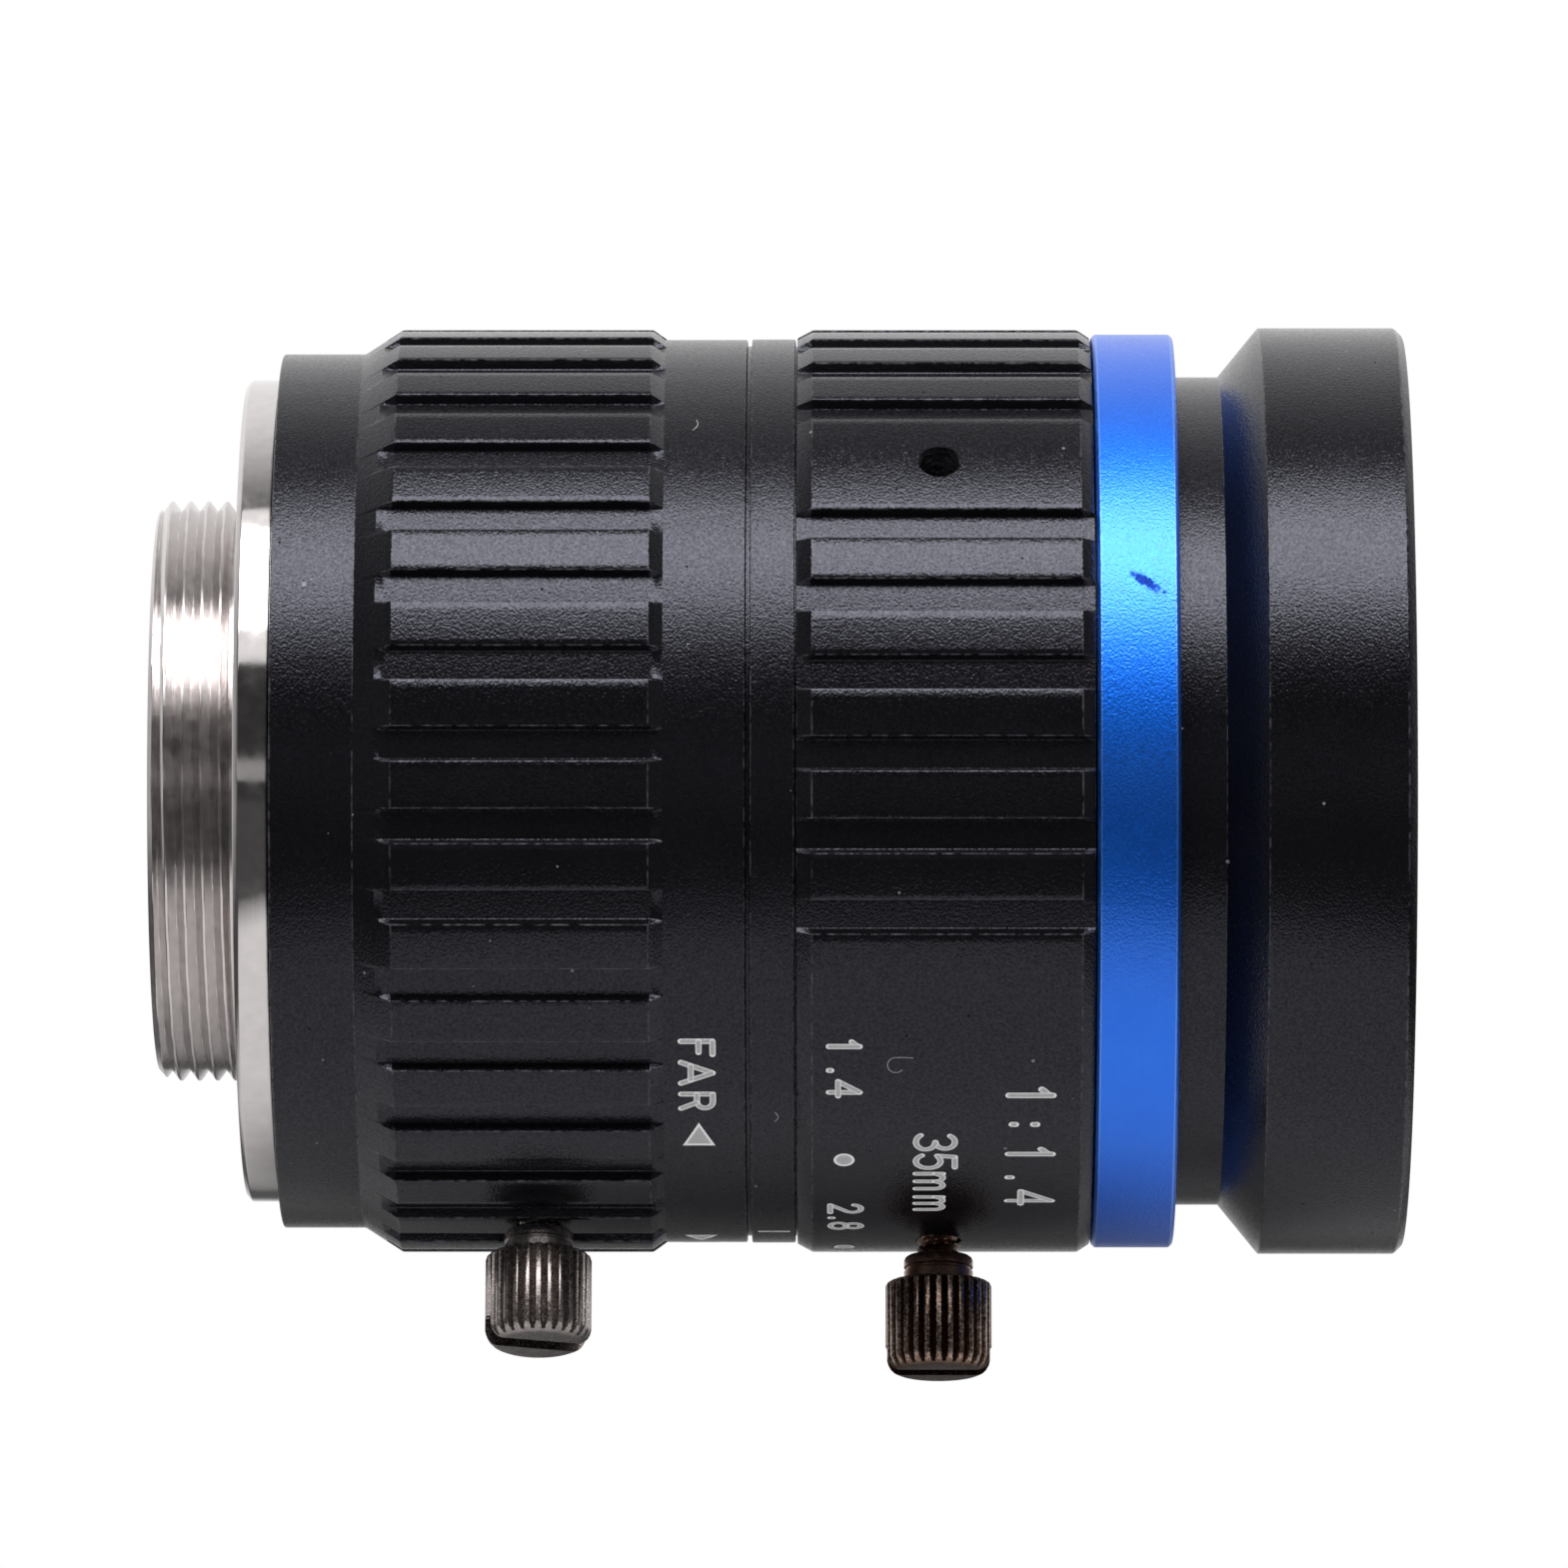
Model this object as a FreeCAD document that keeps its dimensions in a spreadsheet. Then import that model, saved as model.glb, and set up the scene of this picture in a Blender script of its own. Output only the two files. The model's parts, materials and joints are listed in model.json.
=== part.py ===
import FreeCAD, Part
import math
import os
import re

import Sketcher

# Machine vision lens with a C-mount thread, a focus ring and an iris ring.
# Frame: millimetres, origin at the centre of the mounting flange's seat, +X along the
# optical axis towards the front glass, +Z up. The two lock screws point down.
# Angles are turned about +X from +Y towards +Z, so 180 faces the side with the scales.

doc = FreeCAD.newDocument("machine_vision_lens")

# Driving dimensions. Lengths in mm, angles in degrees, radii end in _r.
SIZES = {
    # clearances
    "run_gap": 0.08,
    "run_fit": 0.05,
    "seat_fit": 0.02,
    "edge_chamfer": 0.2,
    # mounting ring: thread 1 inch, 32 turns to the inch
    "thread_r": 12.7,
    "thread_length": 3.9,
    "thread_chamfer": 0.3,
    "light_bore_r": 11.4,
    "light_bore_length": 4.5,
    "flange_step": 2.2,
    "flange_thickness": 1.5,
    "spigot_length": 1.4,
    "spigot_wall": 1.98,
    # fixed sleeve that carries the focus ring
    "sleeve_wall": 1.0,
    "sleeve_length": 18.9,
    # focus ring
    "focus_length": 20.3,
    "rear_band_step": 1.06,
    "rear_band_length": 3.58,
    "cone_length": 1.64,
    "crest_r": 20.2,
    "focus_rib_length": 10.96,
    "rib_end_length": 0.6,
    "band_step": 0.43,
    "grip_wall": 2.2,
    "lip_thickness": 1.85,
    "retainer_thickness": 1.2,
    "retainer_gap": 0.3,
    # grip grooves
    "groove_pitch": 10.0,
    "groove_depth": 0.46,
    "groove_top_width": 0.74,
    "groove_floor_width": 0.62,
    "focus_groove_turn": 4.2,
    "iris_groove_turn": 5.4,
    # moving sleeve that the focus ring drives
    "drive_sleeve_rear": 6.5,
    "drive_sleeve_wall": 1.4,
    "drive_web_thickness": 1.2,
    # guide key between the fixed sleeve and the lens barrel
    "key_rear": 10.0,
    "key_length": 4.0,
    "key_width": 1.96,
    "key_depth": 0.9,
    "key_head": 0.92,
    "key_end_gap": 0.48,
    "focus_travel": 4.5,
    # lens barrel
    "barrel_rear": 3.1,
    "barrel_wall": 2.95,
    "iris_seat": 24.0,
    "barrel_front_wall": 1.75,
    # rings in front of the focus ring
    "seam_gap": 0.2,
    "index_length": 1.9,
    "index_step": 0.41,
    "iris_ring_length": 12.75,
    "iris_rear_step": 0.36,
    "iris_rear_chamfer": 0.67,
    "iris_front_step": 0.35,
    "iris_front_chamfer": 0.54,
    "blue_length": 3.55,
    "blue_step": 0.2,
    "blue_chamfer": 0.16,
    # front barrel
    "neck_step": 2.07,
    "neck_length": 2.0,
    "flare_length": 1.76,
    "hood_rise": 0.08,
    "hood_length": 5.89,
    "hood_chamfer": 0.4,
    "hood_wall": 2.18,
    "filter_depth": 4.2,
    "funnel_step": 0.7,
    "funnel_length": 1.7,
    "nut_seat_wall": 0.95,
    "nut_thickness": 1.5,
    "nut_ring_width": 2.2,
    "nut_slot_width": 1.6,
    "nut_slot_depth": 0.6,
    "front_seat_wall": 2.55,
    "second_seat_wall": 4.15,
    "front_lip_width": 1.8,
    "front_spacer_wall": 0.4,
    "front_barrel_rear": 29.4,
    # rear cell
    "rear_nut_thickness": 1.1,
    "cell_wall": 1.85,
    "sixth_seat_rise": 0.2,
    "rear_seat_rise": 0.1,
    "rear_spacer_wall": 0.8,
    "sixth_seat_step": 2.2,
    "rear_seat_step": 1.1,
    # lock screws, M2
    "screw_r": 0.95,
    "screw_hole_r": 1.0,
    "tapped_hole_r": 0.8,
    "shank_length": 2.2,
    "collar_r": 1.5,
    "collar_length": 0.85,
    "head_r": 2.3,
    "head_length": 4.3,
    "head_chamfer": 0.35,
    "knurl_depth": 0.2,
    "knurl_width": 0.3,
    "driver_slot_width": 0.9,
    "driver_slot_depth": 1.1,
    "pad_length": 0.4,
    "focus_screw_x": 12.87,
    "focus_screw_turn": 249.2,
    "focus_screw_rise": 0.52,
    "focus_screw_spin": 76.0,
    "iris_screw_x": 30.2,
    "iris_screw_turn": 255.4,
    "iris_screw_rise": 0.72,
    "iris_screw_spin": 90.0,
    "spare_hole_step": 120.0,
    # iris mechanism; sizes that end in _pattern are drawn for the pattern's pivot circle
    "iris_pattern_r": 14.3,
    "pivot_inset": 1.2,
    "plate_opening_pattern": 9.3,
    "plate_thickness": 1.0,
    "housing_wall": 0.65,
    "housing_length": 5.3,
    "housing_ring_thickness": 0.58,
    "housing_ring_width": 3.0,
    "cam_rear": 27.4,
    "cam_thickness": 1.2,
    "cam_opening_pattern": 9.7,
    "cam_slot_width": 0.76,
    "cam_slot_spare_turn": 2.6,
    "drive_screw_x": 28.0,
    "drive_screw_turn": 70.4,
    "drive_screw_r": 0.7,
    "drive_screw_reach": 1.15,
    "drive_screw_sink": 0.8,
    "slot_side_gap": 0.15,
    "slot_end_turn": 4.0,
    "iris_close_turn": 72.0,
    "iris_open_turn": 42.0,
    # iris blades
    "blade_thickness": 0.06,
    "blade_rise": 6.84,
    "blade_lift": 0.22,
    "blade_length_pattern": 15.0,
    "blade_width_pattern": 6.4,
    "blade_ear_pattern": 0.85,
    "blade_edge_offset_pattern": 0.6,
    "blade_swing_pattern": 15.2,
    "blade_tip_x_pattern": 15.0,
    "blade_tip_y_pattern": 1.0,
    "blade_tip_turn": 24.0,
    "pivot_turn": 25.4,
    "pivot_pin_r": 0.4,
    "pivot_pin_length": 1.05,
    "pivot_hole_r": 0.45,
    "drive_pin_r": 0.3,
    "drive_pin_x_pattern": 5.0,
    "drive_pin_y_pattern": 4.0,
    "open_lean": 47.8,
    "closed_lean": 84.4,
}

# Counts that set how often a form repeats. The iris ring's grooves come in three runs: how
# many steps from the first place each run starts, and how many grooves it has.
GROOVE_COUNT = 36
IRIS_GROOVE_COUNTS = {"back_grooves": 11, "side_grooves": 6, "last_groove": 1}
IRIS_START_COUNTS = {"back_grooves": 2, "side_grooves": 14, "last_groove": 0}
KNURL_COUNT = 26
BLADE_COUNT = 9
CAM_SLOT_POINTS = 13

# How many times a piece's own size a cut reaches, so that it passes right through.
REACH = 4

# The glasses, front to rear. Each surface is a ball that the glass lies in (ball) or that
# is hollowed out of it (hollow); top is where the surface crosses the axis, curve is its
# radius, and the plane is the flat that ends the edge. Each curve is the one for a glass of
# the radius rim_r, and it grows and shrinks with the rim that the glass really gets.
GLASSES = {
    "front_glass": {"rim_r": 13.6, "front_top": 45.6, "front_curve": 32.0,
                    "rear_top": 42.2, "rear_curve": 120.0, "rear_plane": 41.43, "front_plane": 46.0},
    "second_glass": {"rim_r": 12.0, "front_top": 41.9, "front_curve": 20.0,
                     "rear_top": 38.3, "rear_curve": 38.0, "rear_plane": 36.36, "front_plane": 42.3},
    "third_glass": {"rim_r": 12.0, "front_top": 38.29, "front_curve": 38.0,
                    "rear_top": 36.8, "rear_curve": 11.5, "rear_plane": 31.93, "front_plane": 38.6},
    "fourth_glass": {"rim_r": 10.6, "front_top": 19.0, "front_curve": 12.5,
                     "rear_top": 17.8, "rear_curve": 90.0, "rear_plane": 17.1, "front_plane": 23.26},
    "fifth_glass": {"rim_r": 10.6, "front_top": 17.79, "front_curve": 90.0,
                    "rear_top": 13.2, "rear_curve": 20.0, "rear_plane": 13.0, "front_plane": 18.0},
    "sixth_glass": {"rim_r": 10.8, "front_top": 12.9, "front_curve": 70.0,
                    "rear_top": 9.1, "rear_curve": 32.0, "rear_plane": 8.8, "front_plane": 13.2},
    "rear_glass": {"rim_r": 10.9, "front_top": 8.7, "front_curve": 28.0,
                   "rear_top": 4.9, "rear_curve": 120.0, "rear_plane": 4.6, "front_plane": 9.0},
}
GLASS_FORMS = {
    "front_glass": ("ball", "hollow"),
    "second_glass": ("ball", "hollow"),
    "third_glass": ("ball", "hollow"),
    "fourth_glass": ("hollow", "hollow"),
    "fifth_glass": ("ball", "ball"),
    "sixth_glass": ("ball", "ball"),
    "rear_glass": ("ball", "ball"),
}
# Stations along the axis and radii that follow from the sizes above.
PLACES = {
    "flange_r": "crest_r - flange_step",
    "rear_band_r": "crest_r - rear_band_step",
    "band_r": "crest_r - band_step",
    "groove_floor_r": "crest_r - groove_depth",
    "ring_bore_r": "crest_r - grip_wall",
    "index_r": "crest_r - index_step",
    "iris_rear_r": "crest_r - iris_rear_step",
    "iris_front_r": "crest_r - iris_front_step",
    "blue_r": "crest_r - blue_step",
    "neck_r": "crest_r - neck_step",
    "hood_r": "crest_r + hood_rise",
    "filter_r": "hood_r - hood_wall",
    "funnel_r": "filter_r - funnel_step",
    "retainer_r": "ring_bore_r - retainer_gap",
    "sleeve_r": "ring_bore_r - 2 * run_fit - drive_sleeve_wall",
    "sleeve_bore_r": "sleeve_r - sleeve_wall",
    "spigot_bore_r": "spigot_r - spigot_wall",
    "cell_bore_r": "barrel_run_r - barrel_wall",
    "front_bore_r": "drive_r - barrel_front_wall",
    "nut_bore_r": "spigot_front_r - nut_seat_wall",
    "nut_opening_r": "nut_bore_r - nut_ring_width",
    "front_lip_r": "second_glass_rim_r - front_lip_width",
    "front_glass_rim_r": "spigot_front_r - front_seat_wall",
    "second_glass_rim_r": "spigot_front_r - second_seat_wall",
    "third_glass_rim_r": "spigot_front_r - second_seat_wall",
    "fourth_glass_rim_r": "cell_r - cell_wall",
    "fifth_glass_rim_r": "cell_r - cell_wall",
    "sixth_glass_rim_r": "fourth_glass_rim_r + sixth_seat_rise",
    "rear_glass_rim_r": "sixth_glass_rim_r + rear_seat_rise",
    "focus_screw_stand": "crest_r + focus_screw_rise",
    "iris_screw_stand": "crest_r + iris_screw_rise",
    "housing_r": "front_bore_r - run_fit",
    "housing_bore_r": "housing_r - housing_wall",
    "housing_ring_opening_r": "housing_bore_r - housing_ring_width",
    "pivot_r": "housing_bore_r - pivot_inset",
    "iris_scale": "pivot_r / iris_pattern_r",
    "plate_opening_r": "plate_opening_pattern * iris_scale",
    "cam_opening_r": "cam_opening_pattern * iris_scale",
    "blade_length": "blade_length_pattern * iris_scale",
    "blade_width": "blade_width_pattern * iris_scale",
    "blade_ear": "blade_ear_pattern * iris_scale",
    "blade_edge_offset": "blade_edge_offset_pattern * iris_scale",
    "blade_swing_r": "blade_swing_pattern * iris_scale",
    "blade_tip_x": "blade_tip_x_pattern * iris_scale",
    "blade_tip_y": "blade_tip_y_pattern * iris_scale",
    "drive_pin_x": "drive_pin_x_pattern * iris_scale",
    "drive_pin_y": "drive_pin_y_pattern * iris_scale",
    "drive_screw_tip_r": "housing_bore_r - drive_screw_reach",
    "drive_screw_head_r": "crest_r - drive_screw_sink",
    "focus_rear": "flange_thickness + run_gap",
    "focus_front": "focus_rear + focus_length",
    "cone_start": "focus_rear + rear_band_length",
    "cone_end": "cone_start + cone_length",
    "focus_rib_end": "cone_end + focus_rib_length",
    "band_start": "focus_rib_end + rib_end_length",
    "lip_end": "focus_rear + lip_thickness",
    "sleeve_run_r": "sleeve_r + run_fit",
    "spigot_r": "sleeve_bore_r - seat_fit",
    "sleeve_front": "flange_thickness + sleeve_length",
    "retainer_rear": "lip_end + run_gap",
    "retainer_front": "retainer_rear + retainer_thickness",
    "drive_r": "ring_bore_r - run_fit",
    "barrel_run_r": "sleeve_bore_r - run_fit",
    "index_rear": "focus_front + seam_gap",
    "index_front": "index_rear + index_length",
    "ring_seat_r": "drive_r + seat_fit",
    "iris_rear": "index_front + run_gap",
    "iris_front": "iris_rear + iris_ring_length",
    "iris_rib_start": "iris_rear + iris_rear_chamfer",
    "iris_rib_end": "iris_front - iris_front_chamfer",
    "blue_rear": "iris_front + run_gap",
    "blue_front": "blue_rear + blue_length",
    "flare_start": "blue_front + neck_length",
    "hood_start": "flare_start + flare_length",
    "hood_front": "hood_start + hood_length + hood_chamfer",
    "filter_floor": "hood_front - filter_depth",
    "spigot_front_r": "front_bore_r - run_fit",
    "cell_r": "cell_bore_r - run_fit",
    "nut_rear": "front_glass_front_top - front_glass_front_curve"
                " + sqrt(front_glass_front_curve ^ 2 - nut_opening_r ^ 2) + run_fit",
    "nut_front": "nut_rear + nut_thickness",
    "funnel_start": "filter_floor - funnel_length",
    "first_seat_r": "front_glass_rim_r + seat_fit",
    "second_seat_r": "second_glass_rim_r + seat_fit",
    "second_edge": "second_glass_front_top - second_glass_front_curve"
                   " + sqrt(second_glass_front_curve ^ 2 - second_glass_rim_r ^ 2)",
    "front_spacer_opening_r": "second_glass_rim_r - front_spacer_wall",
    "front_spacer_rear": "second_glass_front_top - second_glass_front_curve"
                         " + sqrt(second_glass_front_curve ^ 2 - front_spacer_opening_r ^ 2) + run_fit",
    "front_spacer_front": "front_glass_rear_plane - run_fit",
    "pivot_plane": "iris_seat + plate_thickness",
    "cam_r": "housing_bore_r - run_gap",
    "cam_front": "cam_rear + cam_thickness",
    "housing_ring_front": "iris_seat + housing_length",
    "housing_ring_rear": "housing_ring_front - housing_ring_thickness",
    "groove_open_r": "crest_r + edge_chamfer",
    "focus_groove_length": "focus_rib_length + rib_end_length + cone_length",
    "iris_groove_length": "iris_ring_length + 2 * run_gap",
    "spigot_bore_rear": "light_bore_length - thread_length",
    "retainer_bore_r": "sleeve_r + seat_fit",
    "key_floor_r": "sleeve_bore_r - edge_chamfer",
    "key_front": "key_rear + key_length",
    "key_way_rear": "key_rear - key_end_gap",
    "key_way_front": "key_front + focus_travel + key_end_gap",
    "key_way_half": "0.5 * key_width + run_fit",
    "key_pocket_half": "0.5 * key_width + seat_fit",
    "key_pocket_floor_r": "barrel_run_r - key_depth",
    "key_height": "key_depth + key_head",
    "drive_web_rear": "index_rear - drive_web_thickness",
    "drive_web_bore_r": "barrel_run_r + seat_fit",
    "barrel_front": "blue_front - run_fit",
    "drive_slot_rear": "drive_screw_x - drive_screw_r - slot_side_gap",
    "drive_slot_front": "drive_screw_x + drive_screw_r + slot_side_gap",
    "drive_hole_r": "drive_screw_r + run_fit",
    "drive_screw_length": "drive_screw_head_r - drive_screw_tip_r",
    "notch_floor_r": "drive_screw_tip_r - run_gap",
    "cam_inside_r": "housing_bore_r - edge_chamfer",
    "housing_ring_r": "housing_bore_r - seat_fit",
    "nut_r": "nut_bore_r - run_fit",
    "nut_seat": "front_glass_rear_plane + edge_chamfer",
    "nut_slot_floor": "nut_front - nut_slot_depth",
    "nut_slot_half": "0.5 * nut_slot_width",
    "spacer_seat": "second_edge + edge_chamfer",
    "cell_front": "iris_seat - edge_chamfer",
    "cell_lip_r": "fourth_glass_rim_r - rear_spacer_wall",
    "fourth_seat_r": "fourth_glass_rim_r + seat_fit",
    "sixth_seat_r": "sixth_glass_rim_r + seat_fit",
    "rear_seat_r": "rear_glass_rim_r + seat_fit",
    "spacer_opening_r": "fourth_glass_rim_r - rear_spacer_wall",
    "spacer_a_front": "fifth_glass_rear_top + fifth_glass_rear_curve"
                      " - sqrt(fifth_glass_rear_curve ^ 2 - spacer_opening_r ^ 2) - run_fit",
    "spacer_a_rear": "sixth_glass_front_top - sixth_glass_front_curve"
                     " + sqrt(sixth_glass_front_curve ^ 2 - spacer_opening_r ^ 2) + run_fit",
    "spacer_b_front": "sixth_glass_rear_top + sixth_glass_rear_curve"
                      " - sqrt(sixth_glass_rear_curve ^ 2 - spacer_opening_r ^ 2) - run_fit",
    "spacer_b_rear": "rear_glass_front_top - rear_glass_front_curve"
                     " + sqrt(rear_glass_front_curve ^ 2 - spacer_opening_r ^ 2) + run_fit",
    "rear_nut_front": "rear_glass_rear_top + rear_glass_rear_curve"
                      " - sqrt(rear_glass_rear_curve ^ 2 - spacer_opening_r ^ 2) - run_fit",
    "cell_rear": "rear_nut_front - rear_nut_thickness",
    "sixth_step": "fifth_glass_rear_top + sixth_seat_step",
    "rear_step": "sixth_glass_rear_top + rear_seat_step",
    "drive_pin_length": "cam_front - pivot_plane - blade_lift - drive_pin_base - run_fit",
    "drive_pin_base": "drive_pin_x * tan(blade_rise * 1deg)",
    "head_base": "shank_length + collar_length",
    "head_end": "head_base + head_length",
    "slot_floor": "head_end - driver_slot_depth",
    "driver_slot_half": "0.5 * driver_slot_width",
    "flute_floor_r": "head_r - knurl_depth",
    "flute_open_r": "head_r + knurl_depth",
    "flute_half": "knurl_width",
}
for glass_name, glass_sizes in GLASSES.items():
    for size_name, size in glass_sizes.items():
        whole_name = glass_name + "_" + size_name
        if size_name in ("front_curve", "rear_curve"):
            SIZES[whole_name + "_pattern"] = size
            PLACES[whole_name] = "%s_pattern * %s_rim_r / %s_rim_pattern" % (whole_name, glass_name, glass_name)
        elif size_name == "rim_r":
            SIZES[glass_name + "_rim_pattern"] = size
        else:
            SIZES[whole_name] = size


def bind(text):
    """Writes a formula of plain names as one that the named cells and places answer."""
    def swap(found):
        word = found.group(0)
        if word in PLACES:
            return "places." + word
        if word in SIZES:
            return "sizes." + word
        return word
    return re.sub(r"[A-Za-z_][A-Za-z_0-9]*", swap, text)


def make_sheet():
    """Puts every driving dimension into its own named cell."""
    sheet = doc.addObject("Spreadsheet::Sheet", "sizes")
    for row, (name, size) in enumerate(SIZES.items(), start=1):
        cell = "B%d" % row
        sheet.set("A%d" % row, name)
        sheet.set(cell, repr(size))
        sheet.setAlias(cell, name)
    doc.recompute()
    return sheet


def make_places():
    """Works out every station and radius that follows from the driving dimensions."""
    places = doc.addObject("App::FeaturePython", "places")
    for name in PLACES:
        places.addProperty("App::PropertyFloat", name)
    for name, formula in PLACES.items():
        places.setExpression(name, bind(formula))
    doc.recompute()
    return places


sheet = make_sheet()
places = make_places()
parts = {}


def number(name):
    """Reads one dimension or place as a number."""
    if name in PLACES:
        return float(getattr(places, name))
    return float(sheet.get(name))


def measure(formula):
    """Adds up a formula that is a sum of names and plain numbers."""
    total = 0.0
    for sign, word in re.findall(r"([+-]?)\s*([A-Za-z_0-9.]+)", formula):
        size = number(word) if word[0].isalpha() else float(word)
        total += -size if sign == "-" else size
    return total


def keep(node, item):
    """Names a finished sub-part."""
    item.Label = node
    parts[node] = item
    return item


def plane(body, role):
    """Finds one of a body's own origin planes."""
    return next(item for item in body.Origin.OriginFeatures if item.Role == role)


def new_body(node):
    """Starts a sub-part built from sketches."""
    return keep(node, doc.addObject("PartDesign::Body", node + "_body"))


def new_sketch(body, name, role="XY_Plane"):
    """Starts a sketch on one of the body's own planes."""
    sketch = body.newObject("Sketcher::SketchObject", name)
    sketch.AttachmentSupport = (plane(body, role), [""])
    sketch.MapMode = "FlatFace"
    return sketch


def tie_point(sketch, line, across, up):
    """Ties the start of a line to two formulas, measured from the sketch's origin."""
    for kind, formula, axis in (("DistanceX", across, -2), ("DistanceY", up, -1)):
        if formula == "0":
            sketch.addConstraint(Sketcher.Constraint("PointOnObject", line, 1, axis))
            continue
        backwards = formula.startswith("-")
        ends = (line, 1, -1, 1) if backwards else (-1, 1, line, 1)
        span = -measure(formula) if backwards else measure(formula)
        index = sketch.addConstraint(Sketcher.Constraint(kind, *ends, span))
        opposite = "-1 * (" + bind(formula) + ")"
        sketch.setExpression("Constraints[%d]" % index, opposite if backwards else bind(formula))


def outline(sketch, points):
    """Draws a closed outline of straight lines through points given as formulas."""
    spots = [FreeCAD.Vector(measure(across), measure(up), 0) for across, up in points]
    count = len(spots)
    for index in range(count):
        sketch.addGeometry(Part.LineSegment(spots[index], spots[(index + 1) % count]), False)
    for index in range(count):
        sketch.addConstraint(Sketcher.Constraint("Coincident", index, 2, (index + 1) % count, 1))
    for index, (across, up) in enumerate(points):
        tie_point(sketch, index, across, up)


def turned(node, points):
    """A ring or tube: an outline of (station, radius) points, turned about the axis."""
    body = new_body(node)
    sketch = new_sketch(body, node + "_outline")
    outline(sketch, points)
    turn = body.newObject("PartDesign::Revolution", node + "_turn")
    turn.Profile = sketch
    turn.ReferenceAxis = (sketch, ["H_Axis"])
    turn.Angle = 360
    return body


def cut_away(body, feature):
    """Confirms that a cut took something away."""
    doc.recompute()
    before = feature.BaseFeature.Shape.Volume
    if feature.Shape.isNull() or feature.Shape.Volume >= before - 1e-6:
        raise RuntimeError("%s cuts nothing" % feature.Name)
    body.Tip = feature


def tube(node, rear, front, inner, outer):
    """A plain ring between two stations and two radii."""
    return turned(node, [(rear, inner), (rear, outer), (front, outer), (front, inner)])


def grip_grooves(body, name, station, length, first_turn, count):
    """Flat-floored grooves along a grip, cut back from a station and repeated about the axis."""
    sketch = new_sketch(body, name + "_shape", "YZ_Plane")
    lean = FreeCAD.Rotation(FreeCAD.Vector(0, 0, 1), first_turn)
    sketch.AttachmentOffset = FreeCAD.Placement(FreeCAD.Vector(0, 0, measure(station)), lean)
    sketch.setExpression(".AttachmentOffset.Base.z", bind(station))
    outline(sketch, [
        ("groove_floor_r", "-groove_floor_width"),
        ("crest_r", "-groove_top_width"),
        ("groove_open_r", "-groove_top_width"),
        ("groove_open_r", "groove_top_width"),
        ("crest_r", "groove_top_width"),
        ("groove_floor_r", "groove_floor_width"),
    ])
    cut = body.newObject("PartDesign::Pocket", name + "_cut")
    cut.Profile = sketch
    cut.Length = measure(length)
    cut.setExpression("Length", bind(length))
    cut_away(body, cut)
    if count > 1:
        ring = body.newObject("PartDesign::PolarPattern", name + "_pattern")
        ring.Originals = [cut]
        ring.Axis = (next(item for item in body.Origin.OriginFeatures if item.Role == "X_Axis"), [""])
        ring.Angle = number("groove_pitch") * (count - 1)
        ring.Occurrences = int(count)
        if count == GROOVE_COUNT:
            ring.Angle = 360
        doc.recompute()
        body.Tip = ring
    return body


def radial_hole(body, name, station, turn, radius, start):
    """A round hole that runs outwards from a radius, square to the axis."""
    sketch = new_sketch(body, name + "_circle")
    lean = FreeCAD.Rotation(FreeCAD.Vector(1, 0, 0), turn - 90)
    base = lean.multVec(FreeCAD.Vector(0, 0, number(start)))
    sketch.AttachmentOffset = FreeCAD.Placement(base, lean)
    circle = sketch.addGeometry(Part.Circle(FreeCAD.Vector(number(station), 0, 0),
                                            FreeCAD.Vector(0, 0, 1), number(radius)), False)
    index = sketch.addConstraint(Sketcher.Constraint("Radius", circle, number(radius)))
    sketch.setExpression("Constraints[%d]" % index, bind(radius))
    sketch.addConstraint(Sketcher.Constraint("PointOnObject", circle, 3, -1))
    index = sketch.addConstraint(Sketcher.Constraint("DistanceX", -1, 1, circle, 3, number(station)))
    sketch.setExpression("Constraints[%d]" % index, bind(station))
    cut = body.newObject("PartDesign::Pocket", name + "_cut")
    cut.Profile = sketch
    cut.Reversed = True
    cut.Length = number("crest_r")
    cut.setExpression("Length", bind("crest_r"))
    cut_away(body, cut)


def side_slot(body, name, start, rear, front, half_width):
    """A straight slot along the axis, cut outwards from a radius through the top wall."""
    sketch = new_sketch(body, name + "_shape")
    sketch.AttachmentOffset = FreeCAD.Placement(FreeCAD.Vector(0, 0, number(start)), FreeCAD.Rotation())
    sketch.setExpression(".AttachmentOffset.Base.z", bind(start))
    outline(sketch, [
        (rear, "-" + half_width),
        (rear, half_width),
        (front, half_width),
        (front, "-" + half_width),
    ])
    cut = body.newObject("PartDesign::Pocket", name + "_cut")
    cut.Profile = sketch
    cut.Reversed = True
    cut.Length = number("crest_r")
    cut.setExpression("Length", bind("crest_r"))
    cut_away(body, cut)


def swept_slot(body, name, inner, outer):
    """A slot round part of a wall, for the iris drive screw to travel in."""
    sketch = new_sketch(body, name + "_shape")
    start_turn = number("drive_screw_turn") - number("iris_close_turn") - number("slot_end_turn")
    sketch.AttachmentOffset = FreeCAD.Placement(
        FreeCAD.Vector(0, 0, 0), FreeCAD.Rotation(FreeCAD.Vector(1, 0, 0), start_turn))
    outline(sketch, [
        ("drive_slot_rear", inner),
        ("drive_slot_rear", outer),
        ("drive_slot_front", outer),
        ("drive_slot_front", inner),
    ])
    cut = body.newObject("PartDesign::Groove", name + "_cut")
    cut.Profile = sketch
    cut.ReferenceAxis = (sketch, ["H_Axis"])
    cut.Angle = number("iris_close_turn") + number("iris_open_turn") + 2 * number("slot_end_turn")
    cut_away(body, cut)


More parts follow.
